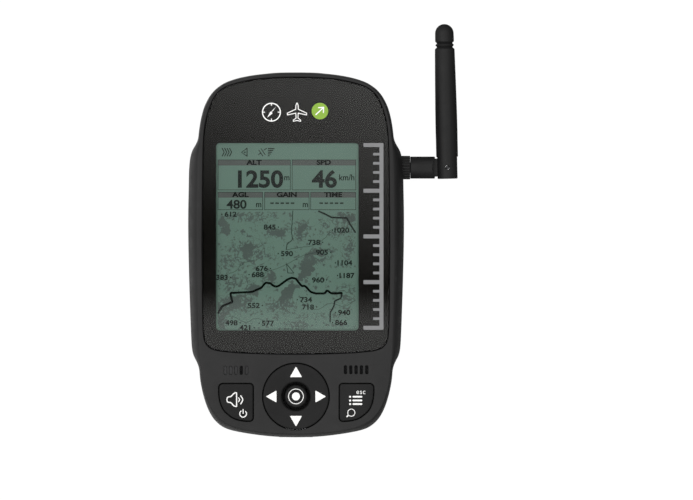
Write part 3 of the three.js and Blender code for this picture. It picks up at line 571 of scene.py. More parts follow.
def lcd_material():
    """Reflective green-grey panel with terrain shading in the map area and a faint pixel grid."""
    m = Nodes("lcd_panel")
    p = m.new("ShaderNodeBsdfPrincipled")
    p.inputs["Specular IOR Level"].default_value = 0.2
    co = m.coord()
    sep = m.new("ShaderNodeSeparateXYZ")
    m.link(co, sep.inputs[0])
    x, y = sep.outputs["X"], sep.outputs["Y"]
    # relief: contour fronds and filled patches, each kept to its own part of the map
    flat = m.new("ShaderNodeCombineXYZ")
    m.link(x, flat.inputs[0])
    m.link(y, flat.inputs[1])
    flat = flat.outputs[0]

    def area_of(cx, cy, rx, ry, turn=0.0, gain=1.0):
        mp = m.new("ShaderNodeMapping")
        mp.vector_type = "TEXTURE"
        q = px(cx, cy)
        mp.inputs["Location"].default_value = (q[0] / 1000, q[1] / 1000, 0)
        mp.inputs["Rotation"].default_value = (0, 0, math.radians(turn))
        mp.inputs["Scale"].default_value = (rx * 0.0003775, ry * 0.0003775, 1)
        m.link(flat, mp.inputs["Vector"])
        d = m.new("ShaderNodeVectorMath")
        d.operation = "LENGTH"
        m.link(mp.outputs[0], d.inputs[0])
        return m.range(d.outputs["Value"], 0.45, 1.15, gain, 0)

    def over(fields):
        total = fields[0]
        for f in fields[1:]:
            total = m.math("MAXIMUM", total, f)
        return total

    fronds = over([area_of(*q) for q in ((250, 216, 30, 7), (277, 232, 19, 7, 10), (251, 254, 27, 17), (229, 262, 9, 17, -20), (303, 231, 9, 15, -35), (338, 227, 20, 13), (349, 250, 8, 18, -25), (318, 258, 24, 7, 20), (237, 283, 21, 10), (238, 305, 24, 14), (281, 306, 20, 10), (345, 294, 13, 12), (297, 325, 14, 6), (222, 322, 7, 11), (268, 279, 10, 8), (320, 316, 34, 5, 0, 0.7))])
    patches = over([area_of(*q) for q in ((225, 226, 5, 12, 25), (248, 251, 8, 9), (307, 268, 8, 17, -28), (289, 293, 7, 14, -30), (277, 233, 12, 4, 0, 0.9), (232, 303, 17, 8, 15, 0.9), (255, 290, 7, 8, 0, 0.9), (346, 217, 11, 5, -15, 0.9), (222, 320, 6, 9, 0, 0.9), (302, 230, 4, 9, -35, 0.9), (272, 277, 5, 7, 20, 0.9), (315, 252, 10, 4, 20, 0.9))])
    fine = m.noise(300, 2.4, 0.62)
    warp = m.noise(470, 1.8, 0.55)
    rag = m.noise(620, 3.0, 0.6)
    ridge = m.math("MINIMUM", m.math("ABSOLUTE", m.math("SUBTRACT", fine, 0.5)), m.math("ADD", m.math("ABSOLUTE", m.math("SUBTRACT", warp, 0.55)), 0.008))
    frond = m.math("SUBTRACT", m.math("MULTIPLY", fronds, 0.034), ridge)
    blot = m.math("SUBTRACT", patches, m.math("ADD", 0.40, m.math("MULTIPLY", m.math("SUBTRACT", rag, 0.5), 3.4)))
    mask = m.math("MAXIMUM", m.range(frond, -0.004, 0.004, 0, 0.95), m.range(blot, -0.05, 0.05, 0, 1))
    in_map = m.math("MULTIPLY", m.range(y, 0.01625, 0.01615, 0, 1), m.range(y, -0.02815, -0.02805, 0, 1))
    in_map = m.math("MULTIPLY", in_map, m.range(x, 0.02245, 0.02235, 0, 1))
    in_map = m.math("MULTIPLY", in_map, m.range(x, -0.0294, -0.0293, 0, 1))
    mask = m.math("MULTIPLY", mask, in_map)
    tone = m.range(m.noise(130, 3.0, 0.5), 0.35, 0.65, 0, 1)
    grey = m.mix(tone, tuple(c * 0.92 for c in SCREEN_GREY), tuple(c * 1.1 for c in SCREEN_GREY))
    broad = m.range(m.noise(24, 2.0, 0.5), 0.3, 0.7, 0, 1)
    light = m.mix(broad, tuple(c * 0.975 for c in SCREEN_LIGHT), tuple(c * 1.025 for c in SCREEN_LIGHT))
    base = m.mix(m.math("MULTIPLY", mask, 0.86), light, grey)
    # pixel grid, 0.219 mm pitch
    gx = m.math("ABSOLUTE", m.math("SUBTRACT", m.math("FRACT", m.math("MULTIPLY", x, 1 / 0.000219)), 0.5))
    gy = m.math("ABSOLUTE", m.math("SUBTRACT", m.math("FRACT", m.math("MULTIPLY", y, 1 / 0.000219)), 0.5))
    grid = m.range(m.math("MAXIMUM", gx, gy), 0.40, 0.5, 0.0, 0.10)
    base = m.mix(grid, base, (0.062, 0.098, 0.080))
    m.link(base, p.inputs["Base Color"])
    m.link(m.range(m.noise(500, 2, 0.5), 0.3, 0.7, 0.45, 0.6), p.inputs["Roughness"])
    m.link(m.bump(grid, 0.000002), p.inputs["Normal"])
    m.link(p.outputs[0], m.out.inputs["Surface"])
    return m.mat


M_LCD = lcd_material()
M_SEG = printed("lcd_segments", SCREEN_DARK, 0.6, 0.15, spec=0.0)
M_ROUTE = printed("lcd_route", (0.0022, 0.0030, 0.0028), 0.6, 0.15, spec=0.0)
M_BAR = printed("lcd_bars", SCREEN_BAR, 0.6, 0.03, spec=0.0)
M_HAIR = printed("lcd_lines", (0.034, 0.046, 0.041), 0.6, 0.1, spec=0.0)

# ------------------------------------------------------- outlines on common rays
LINE = {k: smooth_line(t, 10, mirror_ends=True) for k, t in (("m", FULL), ("c", CORE), ("f", FACE))}


def reach(line, origin, direction):
    a, b = line[:-1], line[1:]
    e = b - a
    den = direction[0] * e[:, 1] - direction[1] * e[:, 0]
    den = np.where(np.abs(den) < 1e-12, 1e-12, den)
    w = a - origin
    t = (w[:, 0] * e[:, 1] - w[:, 1] * e[:, 0]) / den
    s = (w[:, 0] * direction[1] - w[:, 1] * direction[0]) / den
    ok = (t > 0) & (s >= -1e-6) & (s <= 1 + 1e-6)
    return t[ok].min()


STATION = 0.62
base_pts = resample(LINE["m"], STATION)
rows = []
for q in base_pts:
    if abs(q[1]) <= SPINE:
        o, d = np.array([0.0, q[1]]), np.array([1.0, 0.0])
    else:
        o = np.array([0.0, math.copysign(SPINE, q[1])])
        d = (q - o) / np.linalg.norm(q - o)
    rows.append([*o, *d, *(reach(LINE[k], o, d) for k in "mcf")])
rows = np.array(rows)
ker = np.array([1, 4, 6, 4, 1.0])
ker /= ker.sum()
for col in (4, 5, 6):
    v = rows[:, col]
    pad = np.concatenate([v[3:0:-1], v, v[-2:-5:-1]])
    v = np.convolve(pad, ker, "same")[3:-3]
    rows[:, col] = v
rows[:, 4] = np.maximum(rows[:, 4], rows[:, 5]) - 0.045
rows[:, 5] = np.minimum(rows[:, 5], rows[:, 4])
half = rows[::-1]                       # bottom centre, right side upwards, top centre
left = rows[1:-1].copy()
left[:, 2] *= -1
RAYS = np.vstack([half, left])
RO, RD, RM, RC, RF = RAYS[:, :2], RAYS[:, 2:4], RAYS[:, 4], RAYS[:, 5], RAYS[:, 6]


def ring(distance, height):
    xy = RO + RD * np.asarray(distance)[:, None]
    z = height(xy[:, 1]) if callable(height) else np.full(len(xy), float(height))
    return np.column_stack([xy, z])


RTOP = crown(RO[:, 1] + RD[:, 1] * RF)
RDROP = np.minimum(RTOP - Z_WIDEST, 3.2 + 2.4 * (RM - RF))


def flank_at(z):
    """Reach of the outer skin at a height: one convex flank from the face edge to the widest line."""
    u = np.clip((RTOP - z) / RDROP, 0, 1)
    return RF + (RM - RF) * np.sqrt(1 - (1 - u) ** 2)


def back_at(z):
    return (RM - BACK_R) + BACK_R * math.sqrt(max(0.0, 1 - ((BACK_R - z) / BACK_R) ** 2))


def lip(loop, r, n=5, outward=True):
    """Rim of an opening: rings from the face down to the straight wall, (loop, drop)."""
    out = []
    for k in range(n + 1):
        a = math.pi / 2 * k / n
        out.append((grow(loop, r * (1 - math.sin(a)) * (1 if outward else -1)), r * (1 - math.cos(a))))
    return out


def on_crown(loop, drop=0.0):
    return np.column_stack([loop, crown(loop[:, 1]) - drop])


# --------------------------------------------------------------- key outlines
def key_loop():
    body = smooth_line(KEY_CURVE, 5)
    pts = [list(q) for q in body]
    r = 1.25
    for cx, cy, a0, a1 in ((-16.1 - 1.3, -62.4 + 1.3, -90, 0), (-16.1 - r, -48.36 - r, 0, 90), (-28.9 + r + 0.25, -48.36 - r - 0.25, 90, 180)):
        rr = 1.3 if a0 == -90 else (r if a0 == 0 else r + 0.25)
        for i in range(0 if a0 != -90 else 1, 9):
            a = math.radians(a0 + (a1 - a0) * i / 8)
            pts.append([cx + rr * math.cos(a), cy + rr * math.sin(a)])
    return resample(ccw(np.array(pts)), 0.3, closed=True)


KEY_L = key_loop()
KEY_R = ccw(np.column_stack([2 * KEY_MIRROR_X - KEY_L[:, 0], KEY_L[:, 1]]))
LENS = resample(np.vstack([smooth_line(WINDOW, 8, mirror_ends=True), (smooth_line(WINDOW, 8, mirror_ends=True) * [-1, 1])[::-1][1:-1]]), 0.8, closed=True)
LENS = ccw(LENS)
SLOTS = [(x, -43.3) for x in (-26.5, -24.5, -22.5, -20.5, -18.5)] + [(x, -43.1) for x in (18.6, 20.6, 22.6, 24.6, 26.6)]


# -------------------------------------------------------------- front housing
def front_housing():
    b = Build()
    outer = []
    outer.append(ring(flank_at(Z_PART_FRONT) - 2.6, Z_PART_FRONT))
    outer.append(ring(flank_at(Z_PART_FRONT) - 0.08, Z_PART_FRONT))
    outer.append(ring(flank_at(Z_PART_FRONT + 0.07), Z_PART_FRONT + 0.07))
    steps = 22
    for k in range(1, steps + 1):
        u = math.sin(math.pi / 2 * k / steps)
        outer.append(ring(flank_at(Z_PART_FRONT + (RTOP - Z_PART_FRONT) * u), lambda y, u=u: Z_PART_FRONT + (crown(y) - Z_PART_FRONT) * u))
    b.rings(outer)
    face = outer[-1][:, :2]
    pocket = grow(LENS, 0.22)
    hole_l, hole_r = grow(KEY_L, 0.3), grow(KEY_R, 0.3)
    rocker = circle(0, DECK_Y, 12.68, 150)
    slots = [rounded_rect(x - 0.6, y - 1.65, x + 0.6, y + 1.65, 0.55, 6, 0.3) for x, y in SLOTS]
    rims = [(pocket, 0.14), (hole_l, 0.22), (hole_r, 0.22), (rocker, 0.22)] + [(s, 0.1) for s in slots]
    tops = []
    for loop, r in rims:
        steps_ = lip(loop, r)
        tops.append(steps_[0][0])
        b.rings([on_crown(q, d) for q, d in steps_], flip=False)
    b.sheet(face, tops, lambda x, y: crown(y), grid=2.2)
    # pocket walls and floor
    aperture = rounded_rect(-33.1, -32.6, 27.4, 46.4, 1.0, 6, 1.5)
    b.rings([on_crown(pocket, 0.14), on_crown(pocket, 1.98)])
    b.sheet(pocket, [aperture], lambda x, y: crown(y) - 1.98, grid=5)
    b.rings([on_crown(aperture, 1.98), on_crown(aperture, 3.4)])
    # inner ceiling and walls of the other openings
    def ceiling(y):
        return crown(y) - np.where(y > -38.4, 3.4, np.where(y < -39.2, 2.2, 3.4 - (-38.4 - y) / 0.8 * 1.2))
    inner = ring(flank_at(Z_PART_FRONT) - 2.6, ceiling)
    inner_d = np.minimum(flank_at(Z_PART_FRONT) - 2.6, RC - 2.4)
    inner = ring(inner_d, ceiling)
    b.rings([outer[0], ring(inner_d, Z_PART_FRONT + 0.6), inner], flip=True)
    others = [(hole_l, 0.22), (hole_r, 0.22), (rocker, 0.22)] + [(s, 0.1) for s in slots]
    for loop, r in others:
        b.rings([on_crown(loop, r), np.column_stack([loop, ceiling(loop[:, 1])])])
    b.sheet(inner[:, :2], [aperture] + [q for q, _ in others], lambda x, y: ceiling(y), flip=True, grid=6)
    ob = b.make("front_shell", M_FRONT, sharp=38, recalc=True)
    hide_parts("front_housing")
    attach(ob, "case")
    return ob


# --------------------------------------------------------------- rear housing
CASE_SCREWS = [(26, 54), (-26, 54), (30.2, -39.8), (-30.2, -39.8)]


def rear_housing():
    b = Build()
    rings = []
    for k in range(0, 17):
        a = math.pi / 2 * k / 16
        z = BACK_R * (1 - math.cos(a))
        rings.append(ring(back_at(z), z))
    for z in (10.2, 11.2, 12.0, 12.8, 13.6, 14.3, 15.0, 15.5, Z_PART_REAR - 0.2):
        rings.append(ring(flank_at(z), z))
    rings.append(ring(flank_at(Z_PART_REAR - 0.07), Z_PART_REAR - 0.07))
    rings.append(ring(flank_at(Z_PART_REAR) - 0.08, Z_PART_REAR))
    b.rings(rings)
    flat = rings[0][:, :2]
    b.sheet(flat, [], lambda x, y: np.zeros(len(x)), flip=True, grid=4)
    top = rings[-1]
    inner = [top, ring(RC - 0.85, Z_PART_REAR), ring(RC - 0.85, 14.95), ring(RC - 2.2, 14.95)]
    for k in range(0, 9):
        a = math.pi / 2 * k / 8
        inner.append(ring((RC - 9) + 6.8 * math.cos(a), 9 - 7 * math.sin(a)))
    b.rings(inner)
    b.sheet(inner[-1][:, :2], [], lambda x, y: np.full(len(x), 2.0), grid=6)
    ob = b.make("rear_shell", M_REAR, sharp=38, recalc=True)
    # solid surround of the antenna jack
    surround = block("surround", rounded_rect(32.8, ANT_Y - 6.5, 38.4, ANT_Y + 6.5, 0.6), 3.2, 14.95, M_REAR)
    cut(ob, [surround], "UNION")
    cutters = [
        turned("recess", [(0, 36.3), (4.7, 36.3), (5.0, 36.6), (5.0, 39.6), (5.0, 46), (0, 46)], M_REAR, 96, "x", (0, ANT_Y, ANT_Z)),
        turned("jack_hole", [(0, 30), (3.45, 30), (3.45, 37), (0, 37)], M_REAR, 64, "x", (0, ANT_Y, ANT_Z)),
    ]
    for i, (x, y) in enumerate(CASE_SCREWS):
        cutters.append(turned(f"bore{i}", [(0, -1), (2.75, -1), (2.7, 5), (1.4, 5), (1.4, 17), (0, 17)], M_REAR, 48, "z", (x, y, 0)))
    port = Matrix.Translation((0, -67.35, 0)) @ Matrix.Rotation(math.pi / 2, 4, "X")
    cutters.append(block("port", rounded_rect(-6.65, 8.5, 6.65, 14.9, 1.0), 0, 3, M_REAR, port))
    cutters.append(block("mouth", rounded_rect(-4.3, 9.75, 4.3, 13.55, 0.5), -4, 1, M_REAR, port))
    cut(ob, cutters, sharp=38)
    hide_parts("rear_housing")
    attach(ob, "case")
    return ob


# --------------------------------------------------------------------- window
SINK = 0.045        # the pane stands this far below the housing's face


def window():
    b = Build()
    edge = grow(LENS, -0.05)
    loops = [(grow(edge, -0.12), 1.0), (edge, 0.88)]
    for k in range(5):
        a = math.pi / 2 * k / 4
        loops.append((grow(edge, -0.16 * (1 - math.cos(a))), 0.16 * (1 - math.sin(a))))
    loops += [(grow(edge, -0.26), 0.0), (grow(edge, -0.42), 0.0)]
    loops = [loops[0]] + [(q, d + SINK) for q, d in loops[1:]]
    # the pane's side and rounded rim take the near-black edge material, painted shade of the seam
    b.rings([on_crown(q, d) for q, d in loops[:7]], mat=1)
    b.rings([on_crown(q, d) for q, d in loops[6:]])
    b.sheet(loops[-1][0], [], lambda x, y: crown(y) - SINK, grid=1.6, margin=0.5)
    b.sheet(loops[0][0], [], lambda x, y: crown(y) - 1.0, flip=True, grid=4)
    ob = b.make("window_pane", [M_GLASS, M_RIM_PAINTED_SHADE], sharp=30, recalc=True)
    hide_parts("display_window")
    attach(ob, "case")
    # printed border just under the pane, a thin skin with the display opening
    p = Build()
    rim = grow(LENS, -0.2)
    hole = rounded_rect(VIEW_X0, VIEW_Y0, VIEW_X1, VIEW_Y1, 1.4, 10, 1.5)
    for drop, flip in ((1.03, False), (1.10, True)):
        p.sheet(rim, [hole], lambda x, y, d=drop: crown(y) - d, flip=flip, grid=4)
    p.rings([on_crown(rim, 1.10), on_crown(rim, 1.03)])
    p.rings([on_crown(hole, 1.03), on_crown(hole, 1.10)])
    ob2 = p.make("window_border", M_BORDER, recalc=True)
    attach(ob2, "case")


# ------------------------------------------------------------------ the prints
def print_solid(name, shapes, mat, body, height, thick=0.03, slot="keycap", grid=None):
    """Flat inked shapes laid on a surface.  shapes: list of (outer, [holes]); height(x, y) is the surface."""
    b = Build()
    for outer, holes in shapes:
        outer = ccw(np.asarray(outer, float))
        holes = [ccw(np.asarray(h, float)) for h in holes]
        top = lambda x, y: height(x, y) + thick
        low = lambda x, y: height(x, y) - 0.02
        b.sheet(outer, holes, top, grid=grid)
        b.sheet(outer, holes, low, flip=True, grid=grid)
        b.rings([np.column_stack([outer, low(outer[:, 0], outer[:, 1])]), np.column_stack([outer, top(outer[:, 0], outer[:, 1])])])
        for h in holes:
            b.rings([np.column_stack([h, top(h[:, 0], h[:, 1])]), np.column_stack([h, low(h[:, 0], h[:, 1])])])
    ob = b.make(name, mat, weld=1e-5, sharp=40)
    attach(ob, body)
    return ob


def ring_shape(cx, cy, r, w, n=48):
    return (circle(cx, cy, r, n), [circle(cx, cy, r - w, n)])


def text_shapes(text, x, y, size, bold=0.0, squeeze=1.0, align="LEFT", shear=0.0, spacing=1.0):
    """Outlines of generic characters: (points, triangles) in millimetres, baseline at (x, y), cap height = size."""
    cu = bpy.data.curves.new("txt", "FONT")
    cu.body = text
    cu.size = 1.0
    cu.offset = bold
    cu.shear = shear
    cu.align_x = align
    cu.resolution_u = 5
    cu.space_character = spacing
    cu.fill_mode = "FRONT"
    ob = bpy.data.objects.new("txt", cu)
    bpy.context.scene.collection.objects.link(ob)
    dg = bpy.context.evaluated_depsgraph_get()
    mesh = bpy.data.meshes.new_from_object(ob.evaluated_get(dg))
    v = np.array([q.co[:2] for q in mesh.vertices])
    f = [tuple(q.vertices) for q in mesh.polygons]
    bpy.data.objects.remove(ob)
    bpy.data.curves.remove(cu)
    bpy.data.meshes.remove(mesh)
    k = size / 0.73
    return np.column_stack([v[:, 0] * k * squeeze + x, v[:, 1] * k + y]), f


def flat_text(b, item, z, thick=0.02):
    """Adds filled characters as thin plates to a Build."""
    v, f = item
    bm = bmesh.new()
    vs = [bm.verts.new((q[0], q[1], 0)) for q in v]
    for t in f:
        try:
            bm.faces.new([vs[i] for i in t])
        except ValueError:
            pass
    bmesh.ops.remove_doubles(bm, verts=bm.verts, dist=1e-4)
    for fc in bm.faces:
        if fc.normal.z == 0:
            fc.normal_update()
    faces = list(bm.faces)
    for fc in faces:
        fc.normal_update()
        if fc.normal.z < 0:
            fc.normal_flip()
    bm.verts.index_update()
    top, low, n = [], [], len(bm.verts)
    zf = z if callable(z) else (lambda x, y: z)
    verts = [(q.co.x, q.co.y, zf(q.co.x, q.co.y) + thick) for q in bm.verts] + [(q.co.x, q.co.y, zf(q.co.x, q.co.y) - 0.01) for q in bm.verts]
    out = []
    for fc in faces:
        ids = [q.index for q in fc.verts]
        out.append(tuple(ids))
        out.append(tuple(i + n for i in reversed(ids)))
    for e in bm.edges:
        if len(e.link_faces) == 1:
            lp = e.link_loops[0]
            a, c = lp.vert.index, lp.link_loop_next.vert.index
            out.append((a, a + n, c + n, c))
    b.add(verts, out)
    bm.free()


def flat_shape(b, outer, holes, z, thick=0.02):
    outer = ccw(np.asarray(outer, float))
    holes = [ccw(np.asarray(h, float)) for h in holes]
    zf = z if callable(z) else (lambda x, y: np.full(len(x), float(z)))
    b.sheet(outer, holes, lambda x, y: zf(x, y) + thick)
    b.sheet(outer, holes, lambda x, y: zf(x, y) - 0.01, flip=True)
    b.rings([np.column_stack([outer, zf(outer[:, 0], outer[:, 1]) - 0.01]), np.column_stack([outer, zf(outer[:, 0], outer[:, 1]) + thick])])
    for h in holes:
        b.rings([np.column_stack([h, zf(h[:, 0], h[:, 1]) + thick]), np.column_stack([h, zf(h[:, 0], h[:, 1]) - 0.01])])


def bar(x0, y0, x1, y1):
    """Rectangle between two corners of the layout grid."""
    a, c = px(x0, y0), px(x1, y1)
    return np.array([[min(a[0], c[0]), min(a[1], c[1])], [max(a[0], c[0]), min(a[1], c[1])], [max(a[0], c[0]), max(a[1], c[1])], [min(a[0], c[0]), max(a[1], c[1])]])


LCD_LO, LCD_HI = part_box("display_panel")
LCD_Z = LCD_HI.z * 1000


def display():
    lo, hi = LCD_LO * 1000, LCD_HI * 1000
    ob = block("lcd_glass", rounded_rect(lo.x, lo.y, hi.x, hi.y, 0.6, 5), lo.z, hi.z, M_LCD, edge=0.12)
    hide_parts("display_panel")
    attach(ob, "case")
    z = LCD_Z
    dark, route, bars, hair = Build(), Build(), Build(), Build()
    # header bars
    for x0, x1, y0, y1 in ((218.3, 290.8, 160.1, 165.9), (292.0, 355.8, 160.1, 165.9), (218.3, 263.2, 192.2, 197.9), (264.6, 309.4, 192.2, 197.9), (310.4, 355.8, 192.2, 197.9)):
        flat_shape(bars, bar(x0, y0, x1, y1), [], z, 0.012)
    # box frames
    for x0, x1, y0, y1 in ((218.3, 290.8, 160.1, 190.5), (292.0, 355.8, 160.1, 190.5), (218.3, 263.2, 192.2, 210.2), (264.6, 309.4, 192.2, 210.2), (310.4, 355.8, 192.2, 210.2)):
        o = bar(x0, y0, x1, y1)
        i = o + np.array([[1, 1], [-1, 1], [-1, -1], [1, -1]]) * 0.22
        flat_shape(hair, o, [i], z, 0.016)
    # values and labels: generic numbers and short unit names
    def text(s, x, y, h_px, bold=0.0, squeeze=1.0, align="LEFT", target=dark, spacing=1.0):
        q = px(x, y)
        flat_text(target, text_shapes(s, q[0], q[1], h_px * 0.3775, bold, squeeze, align, 0.0, spacing), z, 0.05)
    text("1250", 283.4, 187.4, 17.0, 0.030, 1.06, "RIGHT")
    text("46", 336.9, 187.4, 17.0, 0.030, 1.06, "RIGHT")
    text("m", 287.0, 180.6, 6.2, 0.012, 0.9, "CENTER", route)
    text("km/h", 346.6, 180.6, 6.2, 0.012, 0.92, "CENTER", route)
    text("480", 247.0, 208.7, 8.8, 0.024, 1.10, "RIGHT")
    text("m", 259.0, 207.3, 6.2, 0.012, 0.9, "CENTER", route)
    text("m", 305.4, 207.3, 6.2, 0.012, 0.9, "CENTER", route)
    for cx in (282.9, 331.8):
        for k in range(5):
            x0 = cx - 12.4 + k * 5.1
            flat_shape(dark, bar(x0, 202.7, x0 + 3.5, 204.1), [], z)
    text("ALT", 254.5, 165.1, 4.9, 0.040, 1.24, "CENTER", route)
    text("SPD", 323.8, 165.1, 4.9, 0.040, 1.24, "CENTER", route)
    text("AGL", 240.8, 197.2, 4.9, 0.040, 1.24, "CENTER", route)
    text("GAIN", 287.0, 197.2, 4.9, 0.040, 1.24, "CENTER", route)
    text("TIME", 333.1, 197.2, 4.9, 0.040, 1.24, "CENTER", route)
    # status icons
    for k in range(4):
        x0 = 222.7 + 2.45 * k
        flat_shape(dark, stroke([px(x0, 148.9), px(x0 + 2.0, 152.7), px(x0, 156.5)], 0.36, smooth=False), [], z)
    flat_shape(dark, stroke([px(247.4, 148.8), px(241.9, 152.8), px(247.4, 156.8)], 0.34, smooth=False), [], z)
    flat_shape(dark, stroke([px(247.4, 149.4), px(247.4, 156.2)], 0.34, smooth=False), [], z)
    flat_shape(dark, circle(*px(245.2, 152.8), 0.32, 12), [], z)
    for a, c in (((259.2, 150.6), (263.0, 156.4)), ((261.4, 149.2), (265.4, 155.2)), ((258.6, 155.2), (261.2, 153.4)), ((264.2, 150.6), (266.8, 148.8))):
        flat_shape(dark, stroke([px(*a), px(*c)], 0.3, smooth=False), [], z)
    for k in range(5):
        w = 6.6 - 1.25 * k
        flat_shape(dark, bar(268.2, 148.7 + 1.75 * k, 268.2 + w, 149.7 + 1.75 * k), [], z)
    # route and roads
    thick_route = [(218.6, 312.9), (222.7, 305.8), (232.7, 301.7), (230.7, 292.8), (252.2, 291.7), (261.6, 287.5), (265.8, 282.5), (270.5, 283), (274, 286), (278.1, 286.3), (287.6, 279.3), (292.3, 277.5), (295.8, 278.7), (301.7, 285.8), (305.3, 285.8), (310.6, 291.7), (315.9, 293.2), (324.7, 293.2), (327.1, 289.9), (331.2, 293.2), (341.9, 292.8)]
    tail = [(341.9, 292.8), (340.7, 298.1), (334.8, 300.5), (333.6, 306.4), (330.1, 312.3), (330.1, 321.7)]

    def line(b, pts, w, zz=z, th=0.024, sub=4, wiggle=0.0):
        q = np.array([px(*p) for p in pts])
        if wiggle:
            q = smooth_line(q, 6)
            s = np.arange(len(q))
            q = q + np.stack([np.sin(s * 1.9 + 0.4) + 0.6 * np.sin(s * 3.7), np.cos(s * 2.3) * 0.8], 1) * wiggle
            q = smooth_line(q, 2)
        else:
            q = resample(q, 0.9)
            q = smooth_line(q, 3)
        # built segment by segment so that tight turns stay clean
        for i in range(len(q) - 1):
            a, c = q[i], q[i + 1]
            d = c - a
            n = np.linalg.norm(d)
            if n < 1e-6:
                continue
            d = d / n
            nn = np.array([-d[1], d[0]]) * w / 2
            e = d * w * 0.18
            flat_shape(b, [a - nn - e, c - nn + e, c + nn + e, a + nn - e], [], zz + 0.0004 * (i % 7), th)

    line(route, thick_route, 0.80)
    line(dark, tail, 0.55)
    line(dark, [(292.9, 211.0), (292.3, 222.3), (291.7, 232.5), (292.3, 239.7), (287.6, 243.9), (286.4, 249.8)], 0.28, wiggle=0.06)
    line(dark, [(318.5, 211.4), (324.2, 213.8), (331.5, 217.6), (346.6, 218.2), (350.1, 224.7), (355.2, 232.6)], 0.62)
    line(hair, [(286.4, 249.8), (300.0, 247.4), (312.0, 245.8), (322.0, 240.6), (330.0, 232.4)], 0.16, wiggle=0.10)
    line(hair, [(262.0, 282.0), (266.5, 272.0), (277.0, 268.6), (291.0, 262.0), (302.0, 256.0), (316.0, 252.4), (330.0, 249.0)], 0.15, wiggle=0.10)
    line(hair, [(219.5, 321.0), (232.0, 316.0), (246.0, 322.0), (257.0, 318.0), (270.0, 324.0)], 0.15, wiggle=0.12)
    line(hair, [(300.0, 300.0), (309.0, 307.0), (318.0, 309.0), (330.0, 303.0), (344.0, 306.0), (355.0, 300.0)], 0.15, wiggle=0.12)
    line(hair, [(254.5, 260.0), (244.0, 263.0), (236.0, 271.0), (228.5, 274.0), (219.0, 281.0)], 0.15, wiggle=0.12)
    # position cursor
    tri = [px(286.6, 263.6), px(294.0, 272.9), px(288.0, 272.9)]
    for a, c in zip(tri, tri[1:] + tri[:1]):
        flat_shape(dark, stroke([a, c], 0.24, smooth=False), [], z)
    # spot heights with their dots
    spots = [("612", 231, 216.6), ("845", 270, 229.4), ("1020", 341, 232.4), ("738", 314, 244.6), ("590", 287, 255.8), ("905", 322, 254.4), ("1104", 344, 265.0), ("676", 262, 270.6), ("688", 258, 276.6), ("960", 318, 282.0), ("1187", 346, 277.6),
             ("552", 254, 307.4), ("734", 306, 301.6), ("718", 308, 309.0), ("940", 344, 314.4), ("498", 232, 324.6), ("577", 268, 325.0), ("421", 246, 329.4), ("866", 341, 324.4), ("383", 222.5, 279.4)]
    for i, (s, x, y) in enumerate(spots):
        target = route if y > 312 else dark
        text(s, x, y + 0.2, 5.1, 0.030, 1.16, "CENTER", target)
        flat_shape(target, circle(*px(x + (8.6 if i % 2 else -8.6), y - 2.2), 0.26, 12), [], z)
    for b, name, mat in ((dark, "lcd_marks", M_SEG), (route, "lcd_route", M_ROUTE), (bars, "lcd_header_bars", M_BAR), (hair, "lcd_fine_marks", M_HAIR)):
        q = b.make(name, mat, weld=1e-5, sharp=40)
        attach(q, "case")


